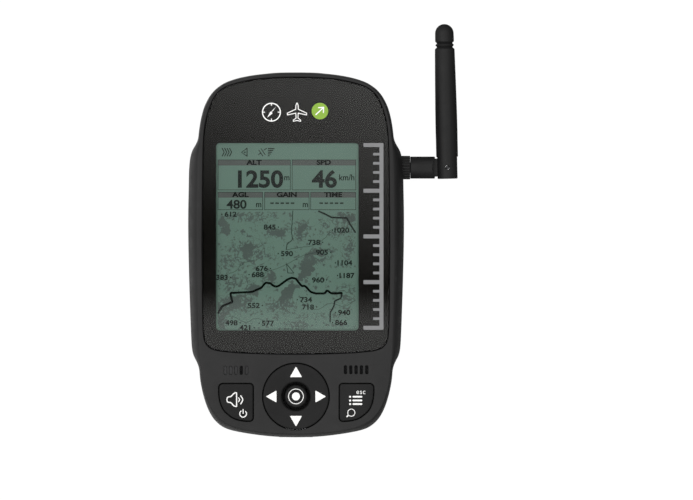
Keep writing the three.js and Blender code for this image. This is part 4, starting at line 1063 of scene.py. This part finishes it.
def window_prints():
    """Generic marks under the pane: a compass and aircraft sign with a green tick, and a grey altitude tape."""
    zf = lambda x, y: crown(y) + 0 * np.asarray(x)
    # compass ring with needle
    shapes = []
    cx, cy = -9.2, 53.6
    shapes.append(ring_shape(cx, cy, 3.55, 0.42, 72))
    for k in range(4):
        a = math.pi / 2 * k
        r0, r1 = 2.55, 3.3
        shapes.append((stroke([[cx + r0 * math.cos(a), cy + r0 * math.sin(a)], [cx + r1 * math.cos(a), cy + r1 * math.sin(a)]], 0.36, smooth=False), []))
    shapes.append((np.array([[cx - 0.75, cy - 0.6], [cx + 0.75, cy + 0.6], [cx + 1.55, cy + 2.0 - 4.1 * 0 + 0.0], [cx - 0.75, cy - 0.6]])[:3], []))
    shapes.append((np.array([[cx - 1.55, cy - 2.0], [cx + 0.45, cy - 0.2 - 0.25], [cx + 0.12, cy + 0.05], [cx - 0.45, cy + 0.2]]), []))
    # aircraft, seen from above, in outline
    ax, ay = 0.4, 53.6
    plane = [[0, 3.5], [0.42, 2.6], [0.48, 1.1], [3.6, -0.35], [3.6, -1.05], [0.46, -0.35], [0.34, -2.2], [1.35, -2.95], [1.35, -3.45], [0, -3.1]]
    plane = plane + [[-q[0], q[1]] for q in plane[::-1][1:-1]]
    loop = ccw(np.array(plane) + [ax, ay])
    for i in range(len(loop)):
        a, c = loop[i], loop[(i + 1) % len(loop)]
        shapes.append((stroke([a, c], 0.32, smooth=False), []))
    marks = Build()
    for i, (o, h) in enumerate(shapes):
        flat_shape(marks, o, h, lambda x, y: crown(y) - SINK, 0.02 + 0.0006 * (i % 9))
    ob = marks.make("window_sign_white", M_WHITE, weld=1e-5, sharp=40)
    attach(ob, "case")
    # green disc with a white rising arrow
    gx, gy = 9.0, 54.0
    g = Build()
    flat_shape(g, circle(gx, gy, 3.1, 72), [], lambda x, y: crown(y) - SINK, 0.02)
    ob = g.make("window_sign_green", M_GREEN, weld=1e-5, sharp=40)
    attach(ob, "case")
    w = Build()
    for i, (a, c) in enumerate((((gx - 1.5, gy - 1.3), (gx + 1.3, gy + 1.3)), ((gx + 1.4, gy + 1.4), (gx - 0.5, gy + 1.3)), ((gx + 1.4, gy + 1.4), (gx + 1.3, gy - 0.5)))):
        flat_shape(w, stroke([a, c], 0.42, smooth=False), [], lambda x, y: crown(y) - SINK, 0.035 + 0.0006 * i)
    ob = w.make("window_sign_arrow", M_WHITE, weld=1e-5, sharp=40)
    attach(ob, "case")
    # grey graduated tape beside the display
    t = Build()
    x0, x1 = 25.35, 32.85
    y0, y1 = -28.1, 42.0
    n = 20
    flat_shape(t, rounded_rect(x1 - 1.5, y0, x1, y1, 0.3, 3, 2.0), [], lambda x, y: crown(y) - SINK, 0.02)
    for k in range(n + 1):
        y = y0 + 0.75 + (y1 - y0 - 1.5) * k / n
        long = k % 5 == 0
        xs = x0 if long else (x0 + 3.6 if k % 5 else x0)
        flat_shape(t, rounded_rect(xs, y - (0.75 if long else 0.5), x1 - 1.4, y + (0.75 if long else 0.5), 0.2, 3), [], lambda x, y: crown(y) - SINK, 0.021)
    ob = t.make("window_tape_grey", M_GREY, weld=1e-5, sharp=40)
    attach(ob, "case")


# ------------------------------------------------------------- keys and rocker
DECK_TILT = math.atan(-DECK_Y / CROWN_R)
DECK = Matrix.Translation((0, DECK_Y, crown(DECK_Y))) @ Matrix.Rotation(DECK_TILT, 4, "X")


def dome_key(name, node, loop, body, rise=0.12):
    """Key cap: eased rim, faintly crowned top, straight sides and a hidden flange."""
    local = loop - [0, DECK_Y]
    local = grow(local, -0.02)
    b = Build()
    levels = [(0.7, -4.35), (0.7, -2.95), (0.02, -2.9)]
    r = 0.42
    for k in range(7):
        a = math.pi / 2 * k / 6
        levels.append((-r * (1 - math.cos(a)), -0.06 - r * (1 - math.sin(a)) + 0.02))
    rings = []
    for d, z in levels:
        q = grow(local, d)
        rings.append(np.column_stack([q, np.full(len(q), z)]))
    b.rings(rings)
    rim = rings[-1][:, :2]
    c = rim.mean(0)
    v, f = fill(rim, [], 0.9)
    dist = np.min(np.linalg.norm(v[:, None] - rim[None], axis=2), axis=1)
    z = rings[-1][0, 2] + rise * (1 - np.exp(-dist / 2.4))
    b.add(np.column_stack([v, z]), f)
    b.sheet(rings[0][:, :2], [], lambda x, y: np.full(len(x), -4.35), flip=True)
    ob = b.make(name, M_KEY, matrix=DECK, sharp=40, recalc=True)
    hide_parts(node)
    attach(ob, body)
    return ob


def deck_print(name, shapes, mat, body, z=0.09, thick=0.03):
    b = Build()
    for outer, holes in shapes:
        o = ccw(np.asarray(outer, float)) - [0, DECK_Y]
        hs = [ccw(np.asarray(h, float)) - [0, DECK_Y] for h in holes]
        flat_shape(b, o, hs, z - 0.05, thick + 0.05)
    ob = b.make(name, mat, matrix=DECK, weld=1e-5, sharp=40)
    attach(ob, body)
    return ob


def outline_shapes(points, w, closed=True):
    """A pen line along a closed polyline as a ring: (outer, [inner])."""
    loop = ccw(np.array(points, float))
    return (grow(loop, w / 2), [grow(loop, -w / 2)])


def controls():
    dome_key("sound_key_cap", "sound_key", KEY_L, "sound_key")
    dome_key("menu_key_cap", "menu_key", KEY_R, "menu_key")
    # rocker ring with eased rims and a soft dip towards the middle
    prof = [(5.35, -2.95), (12.36, -2.95)]
    for k in range(7):
        a = math.pi / 2 * k / 6
        prof.append((12.36 - 0.4 * (1 - math.cos(a)), -0.42 + 0.4 * math.sin(a) - 0.0))
    prof += [(11.4, 0.02), (10.4, 0.035), (9.2, 0.03), (8.0, 0.02), (7.2, 0.0)]
    for k in range(7):
        a = math.pi / 2 * k / 6
        prof.append((6.15 - 0.8 * math.sin(a), -0.8 * (1 - math.cos(a)) - 0.02))
    prof.append((5.35, -1.6))
    ob = turned("rocker_cap", prof, M_KEY, 160, "z", closed=True, matrix=None)
    ob.data.transform(DECK_M)
    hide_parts("rocker_ring")
    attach(ob, "rocker_ring")
    # centre button: rounded shoulder, flat top with a shallow ring groove
    prof = [(0, -4.35), (4.25, -4.35), (4.25, -1.15)]
    for k in range(6):
        a = math.pi / 2 * k / 5
        prof.append((4.25 - 0.75 * (1 - math.cos(a)), -1.15 + 0.75 * math.sin(a)))
    prof += [(3.3, -0.42), (3.15, -0.47), (1.9, -0.5), (0.9, -0.48), (0, -0.47)]
    ob = turned("enter_cap", prof, M_KEY, 112, "z")
    ob.data.transform(DECK_M)
    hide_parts("enter_button")
    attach(ob, "enter_button")
    # arrows
    arrows = []
    for k in range(4):
        a = math.pi / 2 * k
        ca, sa = math.cos(a), math.sin(a)
        tri = np.array([[11.3, 0], [7.3, 2.28], [7.3, -2.28]])
        pts = []
        r = 0.22
        for i in range(3):
            p, q, s = tri[i], tri[i - 1], tri[(i + 1) % 3]
            u, v = (q - p) / np.linalg.norm(q - p), (s - p) / np.linalg.norm(s - p)
            for t in (1, 0.55, 0.2):
                pts.append(p + u * r * t * 1.6 + (u + v) * r * 0.35 * (1 - t))
            for t in (0.2, 0.55, 1):
                pts.append(p + v * r * t * 1.6 + (u + v) * r * 0.35 * (1 - t))
        pts = np.array(pts)
        rot = np.column_stack([pts[:, 0] * ca - pts[:, 1] * sa, pts[:, 0] * sa + pts[:, 1] * ca + DECK_Y])
        arrows.append((rot, []))
    deck_print("rocker_arrows", arrows, M_WHITE, "rocker_ring", z=0.02, thick=0.03)
    deck_print("enter_mark", [ring_shape(0, DECK_Y, 2.92, 0.27, 80), (circle(0, DECK_Y, 1.5, 56), [])], M_WHITE, "enter_button", z=-0.47, thick=0.03)
    # left key: speaker with waves, power sign
    spk = [px(x, y) for x, y in ((228.2, 396.4), (231.4, 395.6), (234.4, 392.6), (236.8, 391.9), (237.0, 394.6), (237.0, 403.0), (236.8, 405.6), (234.4, 405.0), (231.4, 401.9), (228.2, 401.1), (227.4, 398.8))]
    spk = resample(smooth_line(spk, 5, closed=True), 0.16, closed=True)
    shapes = [outline_shapes(spk, 0.42)]
    shapes.append((stroke([px(239.0, 397.0), px(240.0, 398.9), px(239.0, 400.9)], 0.36), []))
    shapes.append((stroke([px(241.2, 394.9), px(243.1, 398.9), px(241.2, 403.0)], 0.40), []))
    c = px(243.5, 412.9)
    arc = [[c[0] + 1.26 * math.cos(math.radians(t)), c[1] + 1.26 * math.sin(math.radians(t))] for t in range(128, 413, 12)]
    shapes.append((stroke(arc, 0.36, sub=2), []))
    shapes.append((stroke([[c[0], c[1] + 0.15], [c[0], c[1] + 1.62]], 0.36, smooth=False), []))
    deck_print("sound_key_print", shapes, M_WHITE, "sound_key")
    # right key: list, magnifier and the generic escape word
    shapes = []
    for y in (395.9, 399.6, 403.2):
        d = px(349.95, y)
        shapes.append((rounded_rect(d[0] - 0.36, d[1] - 0.34, d[0] + 0.36, d[1] + 0.34, 0.15, 3), []))
        a, e = px(352.3, y), px(362.0, y)
        shapes.append((rounded_rect(a[0], a[1] - 0.33, e[0], e[1] + 0.33, 0.3, 4), []))
    c = px(351.1, 411.8)
    shapes.append(ring_shape(c[0], c[1], 1.48, 0.27, 48))
    shapes.append((stroke([px(348.2, 414.3), px(346.8, 415.7)], 0.5, smooth=False), []))
    deck_print("menu_key_print", shapes, M_WHITE, "menu_key")
    b = Build()
    q = px(360.6, 393.2)
    v, f = text_shapes("esc", q[0], q[1] - DECK_Y, 1.95, 0.0, 0.92, "CENTER", 0.0, 1.12)
    flat_text(b, (v, f), 0.06, 0.06)
    ob = b.make("menu_key_word", M_WHITE, matrix=DECK, weld=1e-5, sharp=40)
    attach(ob, "menu_key")


DECK_M = Matrix.Scale(0.001, 4) @ DECK @ Matrix.Scale(1000, 4)


# -------------------------------------------------------------------- antenna
def antenna():
    at = (0, ANT_Y, ANT_Z)
    # jack: flange and a cut thread
    n, turns_n = 48, 0
    prof = [(0, 27.2), (2.4, 27.2), (2.4, 29.2), (3.1, 29.6)]
    x = 29.8
    while x < 37.2:
        prof += [(3.15, x), (2.85, x + 0.35)]
        x += 0.7056
    prof += [(3.1, 37.4), (4.45, 37.5), (4.5, 37.6), (4.5, 38.2), (4.45, 38.3), (3.05, 38.35)]
    x = 38.55
    while x < 40.4:
        prof += [(3.15, x), (2.85, x + 0.35)]
        x += 0.7056
    prof += [(2.75, 40.88), (2.2, 40.9), (2.15, 40.1), (1.05, 40.1), (1.0, 38.0), (0, 38.0)]
    ob = turned("jack_body", prof, M_GOLD, n, "x", at)
    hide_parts("rf_jack"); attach(ob, "case")
    # coupling collar with fine ribs
    ribs = 22
    a = []
    for i in range(ribs):
        for f, r in ((0.0, 4.12), (0.12, 4.16), (0.26, 4.42), (0.40, 4.45), (0.60, 4.45), (0.74, 4.42), (0.88, 4.16)):
            t = 2 * math.pi * (i + f) / ribs
            a.append([r * math.cos(t), r * math.sin(t)])
    loop = ccw(np.array(a))
    b = Build()
    rings = []
    for s, h in ((0.90, 38.62), (0.985, 38.62), (1.0, 38.85), (1.0, 42.62), (0.985, 42.88), (0.93, 42.96)):
        rings.append(np.column_stack([loop * s, np.full(len(loop), h)]))
    rings.append(np.column_stack([loop / np.linalg.norm(loop, axis=1, keepdims=True) * 3.7, np.full(len(loop), 42.96)]))
    for r, h in ((2.36, 42.96), (2.35, 42.1), (3.5, 42.1), (3.5, 38.7), (3.6, 38.62)):
        rings.append(np.column_stack([loop / np.linalg.norm(loop, axis=1, keepdims=True) * r, np.full(len(loop), h)]))
    rings.append(rings[0])
    b.rings(rings)
    ob = b.make("collar_ribbed", M_WHIP, matrix=Matrix.Translation(at) @ AXES["x"], sharp=40, recalc=True)
    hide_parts("antenna_collar"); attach(ob, "antenna_collar")
    # swivel body with the knuckle's tongue
    prof = [(2.35, 43.04), (3.75, 43.04)]
    for k in range(5):
        t = math.pi / 2 * k / 4
        prof.append((3.95 + 0.2 * math.sin(t), 43.04 + 0.2 * (1 - math.cos(t))))
    prof += [(4.15, 47.0), (4.15, 51.95)]
    for k in range(1, 5):
        t = math.pi / 2 * k / 4
        prof.append((4.15 - 0.3 * (1 - math.cos(t)), 51.99 + 0.3 * math.sin(t)))
    prof += [(0, 52.32), (0, 47.6), (3.2, 47.6), (3.2, 45.5), (2.35, 45.5)]
    ob = turned("swivel_body", prof, M_WHIP, 112, "x", at, closed=True)
    scoop = turned("scoop", [(0, -7), (5.8, -7), (5.8, 7), (0, 7)], M_WHIP, 160, "z", (PIN_X, ANT_Y, ANT_Z))
    cut(ob, [scoop])
    t = [[PIN_X + 3.4 * math.cos(math.radians(q)), 3.4 * math.sin(math.radians(q))] for q in range(90, -91, -6)]
    tongue = np.array([[50.0, 3.4]] + t + [[50.0, -3.4]])[::-1]
    tn = block("tongue", ccw(tongue), -1.43, 1.43, M_WHIP, Matrix.Translation(at), edge=0.12)
    cut(ob, [tn], "UNION")
    pinhole = turned("pinhole", [(0, -3), (1.0, -3), (1.0, 3), (0, 3)], M_WHIP, 48, "z", (PIN_X, ANT_Y, ANT_Z))
    cut(ob, [pinhole], sharp=34)
    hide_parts("antenna_base"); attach(ob, "antenna_base")
    # whip
    prof = [(0, -4.2), (3.80, -4.2)]
    for k in range(1, 5):
        q = math.pi / 2 * k / 4
        prof.append((3.80 + 0.3 * math.sin(q), -4.2 + 0.3 * (1 - math.cos(q))))
    for y in (0, 4, 8, 10.5):
        prof.append((4.10, y))
    for y, r in ((14, 4.13), (18, 4.11), (22, 4.08), (25.6, 4.03), (30, 3.97), (35, 3.89), (40, 3.80), (44.3, 3.72)):
        prof.append((r, y))
    prof += [(3.70, 44.62), (3.58, 44.78), (3.05, 45.28), (2.92, 45.4), (3.0, 45.52), (3.34, 45.92), (3.44, 46.02), (3.47, 46.15), (3.44, 46.28), (3.34, 46.38), (2.99, 46.78), (2.9, 46.9), (2.99, 47.02), (3.42, 47.4), (3.52, 47.52), (3.55, 47.7), (3.53, 49.2)]
    for k in range(0, 19):
        q = math.radians(90 * k / 18)
        prof.append((3.5 * math.cos(q), 50.58 + 3.5 * math.sin(q)))
    prof[-1] = (0, 54.08)
    m = Matrix.Translation((PIN_X, ANT_Y, ANT_Z)) @ Matrix.Rotation(math.radians(WHIP_LEAN), 4, "Z")
    b = Build()
    rings = []
    nn = 112
    ang = np.linspace(0, 2 * math.pi, nn, endpoint=False)
    for r, h in prof:
        rings.append(np.stack([r * np.sin(ang), np.full(nn, h), r * np.cos(ang)], 1))
    b.rings(rings)
    ob = b.make("whip_shell", M_WHIP, matrix=m, recalc=True)
    bore = Build()
    rings = [np.stack([r * np.sin(ang[::2]), np.full(nn // 2, h), r * np.cos(ang[::2])], 1) for r, h in ((0, 2), (2.4, 2), (2.4, 49), (1.2, 51), (0, 51))]
    bore.rings(rings)
    bore = bore.make("bore", M_WHIP, matrix=m, recalc=True)
    slot = block("slot", rounded_rect(-7, -7, 7, 4.1, 0.2), -1.65, 1.65, M_WHIP, m)
    sector = [[-0.0, -8], [-8, -8], [-8, 0]] + [[5.5 * math.cos(math.radians(q)), 5.5 * math.sin(math.radians(q))] for q in range(180, 271, 3)]
    corner = block("corner", ccw(np.array(sector, float)), -6, 6, M_WHIP, m)
    pinhole = turned("pinhole", [(0, -6), (0.82, -6), (0.82, 6), (0, 6)], M_WHIP, 40, "z", (PIN_X, ANT_Y, ANT_Z))
    cut(ob, [bore, slot, corner, pinhole], sharp=34)
    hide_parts("antenna_whip"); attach(ob, "antenna_whip")
    ob = turned("knuckle_pin", [(0, -3.75), (0.5, -3.75), (0.62, -3.65), (0.72, -3.5), (0.72, 3.5), (0.62, 3.65), (0.5, 3.75), (0, 3.72)], M_DARKSTEEL, 36, "z", (PIN_X, ANT_Y, ANT_Z))
    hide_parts("antenna_pin"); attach(ob, "antenna_whip")


# --------------------------------------------------------------- small pieces
def small_pieces():
    for i, (x, y) in enumerate(CASE_SCREWS):
        ob = turned(f"case_screw_head_{i + 1}", [(0, 4.2), (0.55, 4.1), (0.95, 4.0), (0.95, 3.15), (1.3, 3.02), (1.75, 3.1), (2.1, 3.3), (2.2, 3.6), (2.2, 4.65), (1.0, 4.7), (1.0, 18.7), (0.6, 18.95), (0, 19)], M_DARKSTEEL, 48, "z", (x, y, 0))
        hexcut = block("hex", circle(0, 0, 1.15, 6), 2, 3.9, M_DARKSTEEL, Matrix.Translation((x, y, 0)))
        cut(ob, [hexcut])
        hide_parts(f"case_screw_{i + 1}"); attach(ob, "case")
    # cover of the service port: eased plate, plug and a finger notch
    lo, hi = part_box("usb_cover")
    base = Matrix.Translation((0, -68.1, 9.4)) @ Matrix.Rotation(math.pi / 2, 4, "X")
    plate = block("port_cover", rounded_rect(-6.35, -0.28, 6.35, 5.15, 0.9, 8, 0.5), -0.5, 0.48, M_RUBBER, base, edge=0.22)
    plug = block("plug", rounded_rect(-3.75, 0.78, 3.75, 3.75, 0.5, 5, 0.5), -1.12, -0.3, M_RUBBER, base, edge=0.15)
    cut(plate, [plug], "UNION")
    notch = turned("notch", [(0, -3), (0.55, -3), (0.55, 3), (0, 3)], M_RUBBER, 32, "x", (0, -68.62, 9.4 + 4.45))
    cut(plate, [notch], sharp=40)
    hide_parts("usb_cover"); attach(plate, "usb_cover")


def vent_insert():
    """Insert behind the left-hand slots: ribs stand up in all of them but the fourth."""
    b = Build()
    base = rounded_rect(-27.6, -45.5, -17.3, -41.1, 0.4, 4, 1.0)
    pads = [rounded_rect(x - 0.54, y - 1.58, x + 0.54, y + 1.58, 0.5, 6, 0.3) for x, y in SLOTS[:5]]
    open_one = pads.pop(3)
    b.sheet(base, [], lambda x, y: crown(y) - 2.96, flip=True, grid=2)
    b.rings([on_crown(base, 2.96), on_crown(base, 2.54)])
    b.sheet(base, pads, lambda x, y: crown(y) - 2.54, grid=1.5)
    for q in pads:
        b.rings([on_crown(q, 2.54), on_crown(q, 0.46), on_crown(grow(q, -0.06), 0.40)])
        b.sheet(grow(q, -0.06), [], lambda x, y: crown(y) - 0.40)
    ob = b.make("vent_insert_ribs", M_INSERT, sharp=40, recalc=True)
    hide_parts("vent_insert")
    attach(ob, "case")


def carried_over():
    """CAD pieces that stay as they are get their real finish."""
    wires = wire_material("red_wire", (0.28, 0.012, 0.010), (0.20, 0.008, 0.008))
    nylon = wire_material("nylon", (0.70, 0.67, 0.58), (0.60, 0.57, 0.50))
    amber = wire_material("polyimide", (0.42, 0.17, 0.028), (0.34, 0.13, 0.02))
    wrap = moulded("cell_wrap", (0.03, 0.05, 0.085), (0.3, 0.42), grain=700, spec=0.5)
    board = board_material()
    finish = {
        "housing_seal": M_RUBBER, "window_gasket": M_RUBBER, "display_frame": metal("frame_steel", (0.5, 0.51, 0.53), brushed=True), "display_flex": amber,
        "main_board": board, "processor_chip": M_CHIP, "memory_chip": M_CHIP, "power_chip": M_CHIP, "receiver_shield": metal("shield_steel", (0.6, 0.6, 0.6), brushed=True),
        "battery_pack": wrap, "battery_pad": M_FOAM, "battery_plug": nylon, "battery_lead": wires, "usb_socket": M_STEEL, "sounder": M_CHIP, "sounder_mesh": M_FOAM,
        "keypad_sheet": M_RUBBER, "rocker_gimbal": M_RUBBER, "rf_jack_nut": M_STEEL, "rf_jack_seal": M_RUBBER, "rf_coax": M_RUBBER, "coax_plug": M_GOLD,
        "antenna_core": M_DARKSTEEL, "antenna_radiator": M_GOLD,
    }
    for name, ob in NODES.items():
        mat = finish.get(name) or (M_STEEL if name.startswith(("key_switch", "board_screw")) else None)
        if mat is None:
            mat = M_FRONT
        ob.data.materials.clear()
        ob.data.materials.append(mat)


# ----------------------------------------------------------- camera and studio
def camera():
    cam = bpy.data.cameras.new("camera")
    cam.lens, cam.sensor_width = 450.0, 36.0
    ob = bpy.data.objects.new("camera", cam)
    bpy.context.scene.collection.objects.link(ob)
    ob.location = (0.01898, 0.00185, 3.258 + 0.0165)
    ob.rotation_euler = (0, 0, 0)
    cam.clip_start, cam.clip_end = 0.05, 20
    bpy.context.scene.camera = ob


def studio():
    scene = bpy.context.scene
    scene.view_settings.view_transform = "Standard"
    scene.view_settings.look = "None"
    scene.view_settings.exposure = 0.0
    # pale floor, over-exposed to white
    b = Build()
    s = 4000
    b.add([(-s, -s, -0.05), (s, -s, -0.05), (s, s, -0.05), (-s, s, -0.05)], [(0, 1, 2, 3)])
    m = Nodes("pale_floor")
    d = m.new("ShaderNodeBsdfDiffuse")
    n = m.noise(3.0, 2, 0.5)
    m.link(m.mix(m.range(n, 0.3, 0.7, 0, 1), (0.040, 0.040, 0.040), (0.045, 0.045, 0.045)), d.inputs["Color"])
    e = m.new("ShaderNodeEmission", Strength=FLOOR_GLOW)
    add = m.new("ShaderNodeAddShader")
    m.link(d.outputs[0], add.inputs[0])
    m.link(e.outputs[0], add.inputs[1])
    # the table bounces little light back up into the dark flanks: its colour, seen only by rays other than camera rays,
    # is painted lighter to the left and towards -Y and darker to the right, painted light of a room lit from the lower
    # left
    dim = m.new("ShaderNodeBsdfDiffuse")
    where = m.new("ShaderNodeSeparateXYZ")
    m.link(m.coord(), where.inputs[0])
    near_y = m.math("MINIMUM", where.outputs["Y"], 0.0)
    # painted light: lighter at -X and below Y = 0, darker towards +X
    tone = m.math("SUBTRACT", m.math("SUBTRACT", 0.38, m.math("MULTIPLY", where.outputs["X"], 3.6)), m.math("MULTIPLY", near_y, 1.2))
    tone = m.math("MAXIMUM", m.math("MINIMUM", tone, 0.75), 0.06)
    m.link(tone, dim.inputs["Color"])
    path = m.new("ShaderNodeLightPath")
    pick = m.new("ShaderNodeMixShader")
    m.link(path.outputs["Is Camera Ray"], pick.inputs[0])
    m.link(dim.outputs[0], pick.inputs[1])
    m.link(add.outputs[0], pick.inputs[2])
    m.link(pick.outputs[0], m.out.inputs["Surface"])
    floor = b.make("floor", m.mat, smooth=False)
    # soft room: bright all round, darker overhead and to the right
    w = bpy.data.worlds.new("studio")
    scene.world = w
    w.use_nodes = True
    t = w.node_tree
    t.nodes.clear()
    out = t.nodes.new("ShaderNodeOutputWorld")
    bg = t.nodes.new("ShaderNodeBackground")
    co = t.nodes.new("ShaderNodeTexCoord")
    sep = t.nodes.new("ShaderNodeSeparateXYZ")
    t.links.new(co.outputs["Generated"], sep.inputs[0])
    X, Y, Z = sep.outputs

    def mth(op, a, b=None):
        n = t.nodes.new("ShaderNodeMath")
        n.operation = op
        for i, q in enumerate((a, b)):
            if q is None:
                continue
            if isinstance(q, (int, float)):
                n.inputs[i].default_value = q
            else:
                t.links.new(q, n.inputs[i])
        return n.outputs[0]

    def rng(v, a, b_, c, d_, kind="SMOOTHSTEP"):
        n = t.nodes.new("ShaderNodeMapRange")
        n.interpolation_type = kind
        for k, q in zip(("From Min", "From Max", "To Min", "To Max"), (a, b_, c, d_)):
            n.inputs[k].default_value = q
        t.links.new(v, n.inputs["Value"])
        return n.outputs["Result"]

    # overhead band: dark where Y is near zero, brighter towards +Y (slowly) and -Y (quickly)
    tilt = mth("ADD", Y, mth("MULTIPLY", X, BAND_SLANT))
    up = rng(tilt, BAND_UP[0], BAND_UP[1], 0, BAND_UP[2], "LINEAR")
    down = rng(Y, BAND_DOWN[0], BAND_DOWN[1], 0, BAND_DOWN[2], "LINEAR")
    near = mth("MAXIMUM", up, down)
    band = rng(near, 0, 1, BAND_DARK, OVERHEAD, "LINEAR")
    # away from the zenith the room is a left-to-right fall-off
    side = rng(X, -0.9, 0.9, SIDE_LEFT, SIDE_RIGHT)
    back = rng(Y, -0.8, 0.8, SIDE_NEAR, SIDE_FAR)
    room = mth("MULTIPLY", side, back)
    core = rng(Z, 0.950, 0.982, 0, 1)
    halo = rng(Z, 0.66, 0.88, 0, 1)
    lamp = mth("MULTIPLY", rng(X, -0.6, 0.6, 1.32, 0.74), RING)
    outer = mth("ADD", mth("MULTIPLY", room, mth("SUBTRACT", 1.0, halo)), mth("MULTIPLY", lamp, halo))
    val = mth("ADD", mth("MULTIPLY", outer, mth("SUBTRACT", 1.0, core)), mth("MULTIPLY", band, core))
    t.links.new(val, bg.inputs["Strength"])
    bg.inputs["Color"].default_value = (1.0, 0.995, 0.985, 1)
    t.links.new(bg.outputs[0], out.inputs["Surface"])

    def area(name, loc, target, size, power, color=(1, 1, 1), size_y=None):
        L = bpy.data.lights.new(name, "AREA")
        L.energy, L.size, L.color = power, size, color
        if size_y:
            L.shape, L.size_y = "RECTANGLE", size_y
        ob = bpy.data.objects.new(name, L)
        scene.collection.objects.link(ob)
        ob.location = loc
        ob.rotation_euler = (Vector(target) - Vector(loc)).to_track_quat("-Z", "Y").to_euler()
        return ob

    area("key_left", (-0.95, 0.25, 0.75), (0, 0, 0), 0.7, KEY_POWER)
    area("fill_top", (0.25, 1.1, 0.85), (0, 0, 0), 0.8, FILL_POWER)


FLOOR_GLOW = 0.985
BAND_SLANT, BAND_UP, BAND_DOWN = 3.75, (-0.0200, 0.157, 1.0), (-0.0345, -0.064, 0.82)
BAND_DARK, OVERHEAD = 0.0, 1.1
RING = 2.0
SIDE_LEFT, SIDE_RIGHT, SIDE_NEAR, SIDE_FAR = 0.72, 0.44, 1.0, 0.9
KEY_POWER, FILL_POWER = 1.2, 0.6

camera()
studio()
carried_over()
front_housing()
rear_housing()
window()
display()
window_prints()
controls()
vent_insert()
antenna()
small_pieces()
